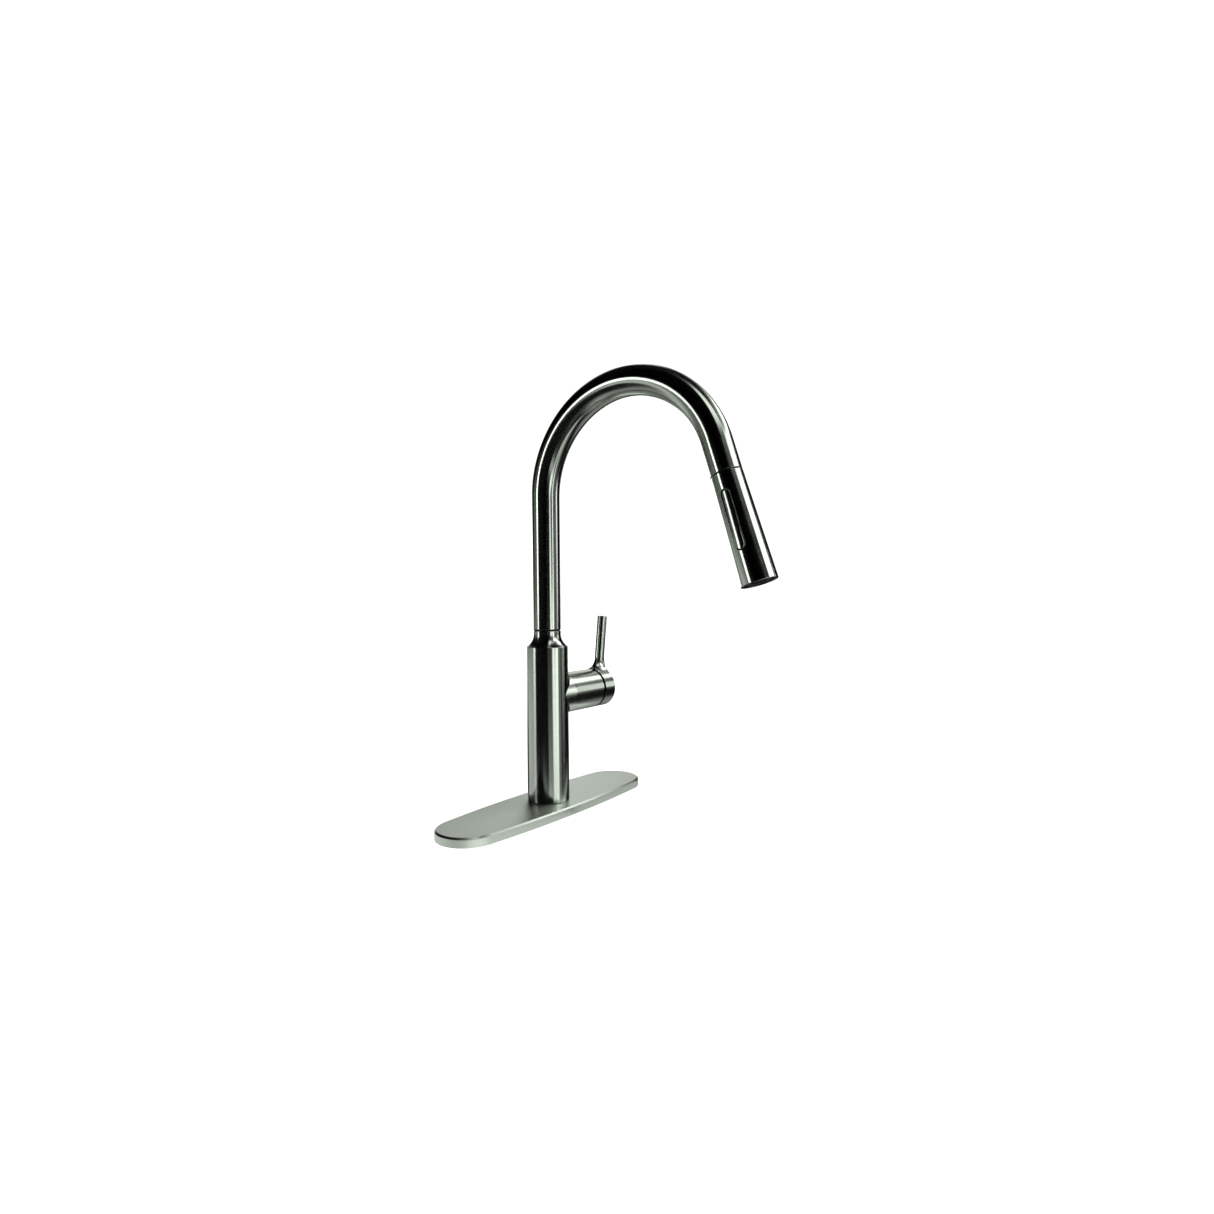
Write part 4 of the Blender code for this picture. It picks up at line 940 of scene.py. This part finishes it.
def make_shank(looks):
    """Threaded tube that holds the column down, with a plain top inside the column."""
    radius, low, high, _ = box_size("mounting_shank")
    bore, tenon, step = 14.2, 16, PLATE_TOP / MM
    corners = [(radius, step - 1, 0), (radius, step, 0.2), (tenon, step, 0.2), (tenon, high, 0.3)]
    corners += [(bore, high, 0.3), (bore, low, 0.2), (radius - 0.6, low, 0.2), (radius, low + 1, 0)]
    skin = Skin()
    turned(skin, outline(in_metres(corners)), 72)
    threaded(skin, radius * MM, (low + 1) * MM, (step - 1) * MM)
    hang(skin, "threaded_shank", looks["brass"], "brass", "base", "mounting_shank")


def make_fastening(looks):
    """Washers, nut and clamp screws under the deck."""
    bore = 16.8
    for node, slot, edge in (("clamp_rubber_washer", "rubber", 0.6), ("clamp_steel_washer", "steel", 0.3)):
        radius, low, high, _ = box_size(node)
        corners = ring_corners(bore, radius, low, high, edge)
        turned_piece(looks, f"fine_{node}", slot, "base", node, corners, steps=96)
    radius, low, high, _ = box_size("mounting_nut")
    waist, bore, flange = radius - 2.5, bore + 0.4, 3
    corners = [(radius - 1, low, 0.5), (radius - 1, low + flange, 0.3), (waist, low + flange, 0.8)]
    corners += [(waist, high - flange, 0.8), (radius, high - flange, 0.3), (radius, high, 0.5)]
    corners += [(bore, high, 0.4), (bore, low, 0.4)]
    turned_piece(looks, "fine_mounting_nut", "brass", "base", "mounting_nut", corners, steps=96)
    for node in ("clamp_screw_front", "clamp_screw_rear"):
        head, low, high, matrix = box_size(node)
        head_top, shaft, recess, recess_top = low + 3.5, 2.5, 2.1, low + 2
        corners = [(head, low, 0.6), (head, head_top, 0.4), (shaft, head_top, 0.1), (shaft, high, 0.4)]
        corners += [(0, high, 0), (0, recess_top, 0), (recess, recess_top, 0), (recess, low, 0.2)]
        turned_piece(looks, f"fine_{node}", "steel", "base", node, corners, matrix)


BEND_TOP = -54 * MM  # the S bend of the supply tubes
BEND_FOOT = -80 * MM


def supply_tube(looks, word, start_share):
    """A supply or outlet tube: straight through the shank, then an easy S bend outwards to its fitting.
    start_share is the straight part's distance from the column's axis, as a share of the fitting's."""
    low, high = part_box(f"{word}_tube")
    fitting_low, fitting_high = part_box(f"{word}_fitting")
    end = ((fitting_low + fitting_high) / 2).xy
    start = end * start_share
    radius = 2.9 * MM
    rows = []
    for height in [high.z, *spread(BEND_TOP, BEND_FOOT, 32), low.z]:
        along = max(0, min(1, (BEND_TOP - height) / (BEND_TOP - BEND_FOOT)))
        place = start.lerp(end, along * along * (3 - 2 * along))
        slope = (end - start) * 6 * along * (1 - along) / (BEND_TOP - BEND_FOOT)
        direction = Vector((-slope.x, -slope.y, 1)).normalized()
        first = Vector((direction.z, 0, -direction.x)).normalized()
        second = direction.cross(first)
        sides = [math.cos(angle) * first + math.sin(angle) * second for angle in circle(32)]
        rows.append([(Vector((*place, height)) + radius * side, side) for side in sides])
    skin = Skin()
    capped(skin, rows, Vector((0, 0, 1)))
    hang(skin, f"fine_{word}_tube", looks["copper"], "copper", "base", f"{word}_tube")


def make_supplies(looks):
    for word, start_share in (("hot_supply", 1 / 2.5), ("cold_supply", 1 / 2.5), ("outlet", 1 / 2.3)):
        supply_tube(looks, word, start_share)
        node = f"{word}_fitting"
        radius, low, high, matrix = box_size(node)
        bore, flange, neck = 3.2, radius - 0.8, radius - 2
        corners = [(flange, low, 0.3), (flange, low + 4, 0.2), (radius, low + 4.4, 0.3)]
        corners += [(radius, high - 3, 0.3), (neck, high - 1.5, 0.5), (neck, high, 0.3)]
        corners += [(bore, high, 0.1), (bore, low, 0.1)]
        turned_piece(looks, f"fine_{node}", "brass", "base", node, corners, matrix)


# ---------------------------------------------------------------- finishes


class Nodes:
    """Short calls for wiring one node tree."""

    def __init__(self, tree):
        self.tree = tree

    def node(self, kind, inputs=(), **settings):
        made = self.tree.nodes.new(kind)
        for key, value in settings.items():
            setattr(made, key, value)
        for key, value in dict(inputs).items():
            self.feed(made.inputs[key], value)
        return made

    def feed(self, socket, value):
        if isinstance(value, bpy.types.NodeSocket):
            self.tree.links.new(value, socket)
        else:
            socket.default_value = value

    def math(self, operation, *values):
        return self.node("ShaderNodeMath", enumerate(values), operation=operation).outputs[0]

    def vector(self, operation, *values):
        made = self.node("ShaderNodeVectorMath", enumerate(values), operation=operation)
        return made.outputs["Value" if operation in ("DOT_PRODUCT", "LENGTH") else "Vector"]

    def smooth(self, value, start, stop, low=0.0, high=1.0):
        """A smooth step from low at start to high at stop."""
        inputs = {"Value": value, "From Min": start, "From Max": stop, "To Min": low, "To Max": high}
        return self.node("ShaderNodeMapRange", inputs, interpolation_type="SMOOTHSTEP").outputs["Result"]

    def noise(self, vector, scale, detail=2.0, roughness=0.5):
        inputs = {"Vector": vector, "Scale": scale, "Detail": detail, "Roughness": roughness}
        return self.node("ShaderNodeTexNoise", inputs).outputs["Fac"]

    def mix(self, share, first, second):
        """A colour between two, by share."""
        made = self.node("ShaderNodeMix", {"Factor": share}, data_type="RGBA")
        made.inputs[6].default_value = (*first, 1)
        made.inputs[7].default_value = (*second, 1)
        return made.outputs[2]

    def scaled(self, vector, size):
        made = self.vector("SCALE", vector)
        self.feed(made.node.inputs["Scale"], size)
        return made

    def place(self, output="Object"):
        return self.node("ShaderNodeTexCoord").outputs[output]

    def parts(self, vector):
        return self.node("ShaderNodeSeparateXYZ", {0: vector}).outputs

    def bump(self, shader, height, strength, distance):
        made = self.node("ShaderNodeBump", {"Height": height, "Strength": strength, "Distance": distance})
        self.feed(shader.inputs["Normal"], made.outputs[0])

    def split(self, kind, first, second, output):
        """Feeds an output with one shader, and with a second one for rays of one kind."""
        chosen = self.node("ShaderNodeLightPath").outputs[kind]
        both = self.node("ShaderNodeMixShader", {0: chosen, 1: first.outputs[0], 2: second.outputs[0]})
        self.feed(self.tree.nodes[output].inputs["Surface"], both.outputs[0])


def new_finish(name, colour, metallic, roughness):
    """A Principled material, its wiring helper and its shader."""
    material = bpy.data.materials.new(name)
    material.use_nodes = True
    nodes = Nodes(material.node_tree)
    shader = nodes.tree.nodes["Principled BSDF"]
    for key, value in (("Base Color", (*colour, 1)), ("Metallic", metallic), ("Roughness", roughness)):
        nodes.feed(shader.inputs[key], value)
    return material, nodes, shader


def mottle_and_painted_shade(nodes, shader, colour, shade, share):
    """A colour that varies by share, down to shade times itself: random tone on the plain finishes, and painted
    shade in the nickel's seam.
    """
    nodes.feed(shader.inputs["Base Color"], nodes.mix(share, [shade * value for value in colour], colour))


NICKEL_COLOUR = (0.66, 0.72, 0.65)
FLAT_FACING = (0.85, 0.95)  # how far a normal points along the axis where a side turns into a flat end
BRUSH_PITCH = 5200.0  # noise cells per metre across the brush lines
BRUSH_RUN = 25  # and along them


def bent_brush(nodes, place, bend):
    """Distance along a pipe's centre line that bends at radius bend, and the direction along it."""
    parts = nodes.parts(place)
    height = nodes.math("MAXIMUM", parts["Z"], 0.0)
    angle = nodes.math("ARCTAN2", height, parts["Y"])
    below = nodes.math("MINIMUM", parts["Z"], 0.0)
    along = nodes.math("ADD", nodes.math("MULTIPLY", angle, bend), below)
    arm = nodes.node("ShaderNodeCombineXYZ", {"X": 0.0, "Y": parts["Y"], "Z": height}).outputs[0]
    return along, nodes.vector("CROSS_PRODUCT", (1.0, 0.0, 0.0), arm)


def straight_brush(nodes, place, axis):
    """Distance along an axis, and out from it on a flat end, and the direction in which it grows."""
    arm = nodes.vector("CROSS_PRODUCT", axis, nodes.vector("CROSS_PRODUCT", place, axis))
    facing = nodes.math("ABSOLUTE", nodes.vector("DOT_PRODUCT", nodes.place("Normal"), axis))
    flat = nodes.smooth(facing, *FLAT_FACING)
    radial = nodes.math("MULTIPLY", nodes.vector("LENGTH", arm), flat)
    along = nodes.math("ADD", nodes.vector("DOT_PRODUCT", place, axis), radial)
    # on a flat end the outward part is long enough to hide the axis
    outwards = nodes.scaled(nodes.vector("NORMALIZE", arm), nodes.math("MULTIPLY", flat, 20.0))
    return along, nodes.vector("ADD", outwards, axis)


def brushed(name, axis, centre=(0, 0, 0), bend=None, roughness=0.1, gap=None, branch=False):
    """Satin nickel with fine lines that run round an axis through centre, or across a bend's centre line.
    Flat ends get circles round the axis. gap is the X range of a seam whose walls and rounded lips get painted
    shade: a nearly black base colour in place of the shade inside the seam. With branch, the lines run round X
    past the column's side."""
    material, nodes, shader = new_finish(name, NICKEL_COLOUR, 1, 0.2)
    place = nodes.vector("SUBTRACT", nodes.place(), centre)
    if bend:
        along, direction = bent_brush(nodes, place, bend)
    else:
        if branch:
            share = nodes.smooth(nodes.parts(place)["X"], COLUMN_RADIUS, COLUMN_RADIUS + FILLET)
            turn = nodes.vector("SUBTRACT", (1.0, 0.0, 0.0), axis)
            axis = nodes.vector("ADD", nodes.scaled(turn, share), axis)
        along, direction = straight_brush(nodes, place, axis)
    spaces = {"vector_type": "VECTOR", "convert_from": "OBJECT", "convert_to": "WORLD"}
    world = nodes.node("ShaderNodeVectorTransform", {0: direction}, **spaces)
    shader.inputs["Anisotropic"].default_value = 0.9
    nodes.feed(shader.inputs["Tangent"], world.outputs[0])
    fast = nodes.node("ShaderNodeCombineXYZ", {"X": nodes.math("MULTIPLY", along, BRUSH_PITCH)}).outputs[0]
    grain = nodes.vector("ADD", nodes.scaled(place, BRUSH_RUN), fast)
    lines = nodes.noise(grain, scale=1.0, detail=3.0, roughness=0.6)
    cloud = nodes.noise(place, scale=60.0)
    nodes.bump(shader, lines, strength=0.12, distance=0.03 * MM)
    rough = nodes.math("ADD", nodes.math("MULTIPLY", lines, 0.10), nodes.math("MULTIPLY", cloud, 0.05))
    nodes.feed(shader.inputs["Roughness"], nodes.math("ADD", rough, roughness))
    # painted shade: near the seam between branch and handle the base colour drops to 0.02 of the nickel's,
    # standing in for the shade inside the narrow seam
    if gap:
        middle, half = (gap[0] + gap[1]) / 2, (gap[1] - gap[0]) / 2
        away = nodes.math("ABSOLUTE", nodes.math("SUBTRACT", nodes.parts(nodes.place())["X"], middle))
        share = nodes.smooth(away, half + 0.4 * MM, half + 0.7 * MM)
        mottle_and_painted_shade(nodes, shader, NICKEL_COLOUR, 0.02, share)
    return material


def machined(name, colour, roughness, scale=(90, 90, 2600)):
    """Turned or rolled metal, with fine tool marks round its axis and a little tarnish."""
    material, nodes, shader = new_finish(name, colour, 1.0, roughness)
    marks = nodes.noise(nodes.vector("MULTIPLY", nodes.place(), scale), scale=1.0, detail=3.0)
    cloud = nodes.noise(nodes.place(), scale=110.0, detail=4.0)
    nodes.bump(shader, marks, strength=0.2, distance=0.04 * MM)
    mottle_and_painted_shade(nodes, shader, colour, 0.72, nodes.smooth(cloud, 0.35, 0.65))
    nodes.feed(shader.inputs["Roughness"], nodes.smooth(marks, 0.2, 0.8, roughness - 0.06, roughness + 0.08))
    return material


def moulded(name, colour, roughness, grain=1400.0, depth=0.03 * MM):
    """Plastic, rubber or ceramic with a fine moulded grain and slightly uneven gloss."""
    material, nodes, shader = new_finish(name, colour, 0.0, roughness)
    cloud = nodes.noise(nodes.place(), scale=80.0, detail=3.0)
    fine = nodes.noise(nodes.place(), scale=grain, detail=3.0)
    nodes.bump(shader, fine, strength=0.35, distance=depth)
    mottle_and_painted_shade(nodes, shader, colour, 0.82, nodes.smooth(cloud, 0.3, 0.7))
    nodes.feed(shader.inputs["Roughness"], nodes.smooth(cloud, 0.3, 0.7, roughness - 0.05, roughness + 0.05))
    shader.inputs["Specular IOR Level"].default_value = 0.3
    return material


STRANDS = 8.0  # strands round the hose, each way
STRAND_RISE = 1500.0  # radians of the weave per metre of hose


def braided(name, centre=(0, 0, 0), lean=0.0):
    """Grey nylon braid over a dark hose: strands that cross in two directions round its axis."""
    material, nodes, shader = new_finish(name, (0.14, 0.14, 0.15), 0.0, 0.55)
    place = nodes.vector("SUBTRACT", nodes.place(), centre)
    upright = nodes.node("ShaderNodeVectorRotate", {"Vector": place, "Angle": lean}, rotation_type="X_AXIS")
    parts = nodes.parts(upright.outputs[0])
    strands = nodes.math("MULTIPLY", nodes.math("ARCTAN2", parts["Y"], parts["X"]), STRANDS)
    rise = nodes.math("MULTIPLY", parts["Z"], STRAND_RISE)
    first = nodes.math("SINE", nodes.math("ADD", rise, strands))
    second = nodes.math("SINE", nodes.math("SUBTRACT", rise, strands))
    weave = nodes.math("MAXIMUM", first, second)
    nodes.bump(shader, weave, strength=0.8, distance=0.3 * MM)
    colour = nodes.mix(nodes.smooth(weave, -0.2, 0.8), (0.03, 0.03, 0.035), (0.3, 0.3, 0.31))
    nodes.feed(shader.inputs["Base Color"], colour)
    return material


def make_looks():
    """A finish for each material slot, and one each for the soft nozzles and the hose's leaning end."""
    return {
        "brass": machined("brass", (0.72, 0.52, 0.26), 0.26),
        "steel": machined("steel", (0.55, 0.56, 0.57), 0.24),
        "copper": machined("copper", (0.75, 0.42, 0.28), 0.2, (300, 300, 300)),
        "magnet": machined("magnet", (0.1, 0.1, 0.11), 0.35),
        "black_plastic": moulded("black_plastic", (0.018, 0.018, 0.018), 0.42),
        "white_plastic": moulded("white_plastic", (0.8, 0.8, 0.77), 0.38),
        "grey_plastic": moulded("grey_plastic", (0.2, 0.21, 0.21), 0.45),
        "rubber": moulded("rubber", (0.012, 0.012, 0.012), 0.72, 700.0, 0.08 * MM),
        "nozzle": moulded("nozzle_rubber", (0.12, 0.13, 0.13), 0.6, 900.0, 0.04 * MM),
        "ceramic": moulded("ceramic", (0.85, 0.85, 0.8), 0.12, 2500.0, 0.004 * MM),
        "braided_hose": braided("braided_hose"),
        "pulled_hose": braided("pulled_hose", tuple(SEAM), WAND_LEAN),
        "brushed_nickel": brushed("hidden_nickel", (1.0, 0.0, 0.0)),
    }


# ---------------------------------------------------------------- build

# the seam between branch and handle, where the column's and the handle's nickel get painted shade
HANDLE_SEAM = (BRANCH_END, RING_START)
looks = make_looks()
wand_nickel = brushed("wand_nickel", tuple(-WAND_DOWN))
make_plate(brushed("plate_nickel", (0.0, 1.0, 0.0), roughness=0.27))
make_column(brushed("column_nickel", (0.0, 0.0, 1.0), roughness=0.115, gap=HANDLE_SEAM, branch=True))
make_spout(brushed("spout_nickel", None, (0, -ARCH_RADIUS, ARCH_START_Z), ARCH_RADIUS))
make_wand(wand_nickel)
make_rocker(wand_nickel)
make_handle(brushed("handle_nickel", (1.0, 0.0, 0.0), tuple(HUB), gap=HANDLE_SEAM))
for make in (
    make_glide_ring,
    make_index_plug,
    make_dock,
    make_spray_face,
    make_nozzles,
    make_aerator,
    make_face_rim,
    make_hose,
    make_shank,
    make_fastening,
    make_supplies,
):
    make(looks)

for part in frame["record"]["subparts"]:
    kept = frame["nodes"][part["node"]]
    if not kept.hide_render:
        kept.data.materials.clear()
        kept.data.materials.append(looks[part["material_slot"]])


# ---------------------------------------------------------------- camera and light

EYE = (-0.5221, -0.4611, 0.2065)
YAW, PITCH, ROLL = (math.radians(angle) for angle in (-53.119, -0.933, -0.527))
LENS = 21.06  # millimetres, as the sensor's width
SENSOR_WIDTH = 36
SHIFT = (0.0029, 0.0011)


def make_camera():
    """A wide lens a little above the spout's foot, looking nearly level."""
    data = bpy.data.cameras.new("camera")
    data.lens, data.sensor_width = LENS, SENSOR_WIDTH
    data.shift_x, data.shift_y = SHIFT
    data.clip_start = 0.01
    camera = bpy.data.objects.new("camera", data)
    bpy.context.scene.collection.objects.link(camera)
    turn = Matrix.Rotation(YAW, 4, "Z") @ Matrix.Rotation(math.pi / 2 + PITCH, 4, "X")
    camera.matrix_world = Matrix.Translation(EYE) @ turn @ Matrix.Rotation(ROLL, 4, "Z")
    bpy.context.scene.camera = camera


def within(nodes, value, span, soft, strength=1.0):
    """strength where a value in degrees is within a span, with soft edges, and 0 outside."""
    middle, half = (span[0] + span[1]) / 2, (span[1] - span[0]) / 2
    offset = nodes.math("WRAP", nodes.math("SUBTRACT", value, middle), 180.0, -180.0)
    return nodes.smooth(nodes.math("ABSOLUTE", offset), half + soft, half - soft, 0.0, strength)


# The studio's panels: azimuth range, elevation range, edge softness (degrees) and brightness.
# Azimuth is from +X towards +Y. The camera is at -138.5, seen from the column.
PANELS = [
    ((-111, -76), (-17, -1), 4, 0.95),  # tall key panel, right of the camera, its upper part in two strips
    ((-110, -99), (-3, 10), 2, 0.95),
    ((-90, -78), (-3, 13), 3, 1.2),
    ((-120, -74), (44, 76), 5, 0.8),
    ((-104, -72), (-80, -17), 6, 0.4),
    ((-74, -60), (-60, 8), 8, 0.15),
    ((-52, -42), (-8, 12), 4, 0.3),
    ((-42, -31), (-1, 18), 3, 1.1),  # narrow panel that the branch sees
    ((-87, -44), (21, 38), 4, 1.5),  # large panel above the handle side
    ((-42, -8), (31, 46), 3, 1.6),
    ((-60, -16), (41, 55), 6, 0.3),
    ((-12, 24), (33, 44), 5, 0.4),
    ((5, 26), (-9, 7), 4, 0.2),
    ((30, 76), (-7, 8), 6, 1.4),  # bright wall behind
    ((27, 44), (14, 50), 5, 0.6),
    ((44, 66), (8, 42), 5, 0.3),
    ((86, 153), (-18, -4), 2, 0.42),  # dim wall on the left, brighter at its far edge
    ((108, 134), (1, 12), 3, 0.12),
    ((140, 152), (-2, 12), 3, 2.0),
    ((-20, 46), (-60, -27), 7, 0.2),
    ((46, 64), (-56, -24), 4, 0.45),
    ((64, 118), (-62, -18), 5, 0.18),
    ((110, 165), (-80, -50), 6, 0.2),
    ((-180, -60), (-62, -50), 6, 0.05),
    ((-136, -112), (-24, -15), 3, 0.6),
]
STUDIO_BASE = 0.0004  # brightness between the panels
STUDIO_LIGHT = 1.45  # strength of the panels together


def make_world():
    """A dark studio with light panels all round, and a plain white background for what the camera sees."""
    world = bpy.data.worlds.new("studio")
    bpy.context.scene.world = world
    world.use_nodes = True
    nodes = Nodes(world.node_tree)
    parts = nodes.parts(nodes.place("Generated"))
    to_degrees = 180 / math.pi
    angle = nodes.math("MULTIPLY", nodes.math("ARCTAN2", parts["Y"], parts["X"]), to_degrees)
    rise = nodes.math("MULTIPLY", nodes.math("ARCSINE", parts["Z"]), to_degrees)
    total = STUDIO_BASE
    for turn_span, rise_span, soft, strength in PANELS:
        across = within(nodes, angle, turn_span, soft, strength)
        panel = nodes.math("MULTIPLY", across, within(nodes, rise, rise_span, soft))
        total = nodes.math("MAXIMUM", panel, total)
    studio = world.node_tree.nodes["Background"]
    nodes.feed(studio.inputs["Strength"], nodes.math("MULTIPLY", total, STUDIO_LIGHT))
    studio.inputs["Color"].default_value = (1, 1, 0.99, 1)
    plain = nodes.node("ShaderNodeBackground", {"Color": (1, 1, 1, 1), "Strength": 1.0})
    nodes.split("Is Camera Ray", studio, plain, "World Output")


DECK_FRONT = -90 * MM  # the deck ends here, so that the pulled wand hangs free in front of it
DECK_REACH = 3.0
PLATE_REACH = (PLATE_LENGTH / 2 - PLATE_END_RADIUS, 0, 1)  # the glow fades by distance from this line
GLOW = 0.5
GLOW_RANGE = (45 * MM, 75 * MM)  # the distances between which the deck's glow fades


def make_floor():
    """A white sink deck at z = 0, with its front edge turned down. Its glow near the plate shows in
    the plate's side; farther off, reflections see the studio instead."""
    material, nodes, shader = new_finish("white_deck", (0.9, 0.9, 0.9), 0, 0.9)
    shader.inputs["Emission Color"].default_value = (1, 1, 1, 1)
    shader.inputs["Emission Strength"].default_value = 0.92
    beyond = nodes.vector("SUBTRACT", nodes.vector("ABSOLUTE", nodes.place()), PLATE_REACH)
    away = nodes.vector("LENGTH", nodes.vector("MAXIMUM", beyond, (0, 0, 0)))
    glow = nodes.node("ShaderNodeEmission", {"Strength": nodes.smooth(away, *GLOW_RANGE, GLOW, 0.0)})
    clear = nodes.node("ShaderNodeBsdfTransparent")
    both = nodes.node("ShaderNodeAddShader", {0: glow.outputs[0], 1: clear.outputs[0]})
    nodes.split("Is Glossy Ray", shader, both, "Material Output")
    reach, front = DECK_REACH, DECK_FRONT
    corners = [(-reach, reach, 0), (reach, reach, 0), (reach, front, 0), (-reach, front, 0)]
    corners += [(-reach, front, -1), (reach, front, -1)]
    mesh = bpy.data.meshes.new("deck")
    mesh.from_pydata(corners, [], [(0, 1, 2, 3), (3, 2, 5, 4)])
    mesh.materials.append(material)
    floor = bpy.data.objects.new("deck", mesh)
    bpy.context.scene.collection.objects.link(floor)


make_camera()
make_world()
make_floor()
view = bpy.context.scene.view_settings
view.view_transform = "Standard"
view.exposure = 0.15
view.gamma = 0.85
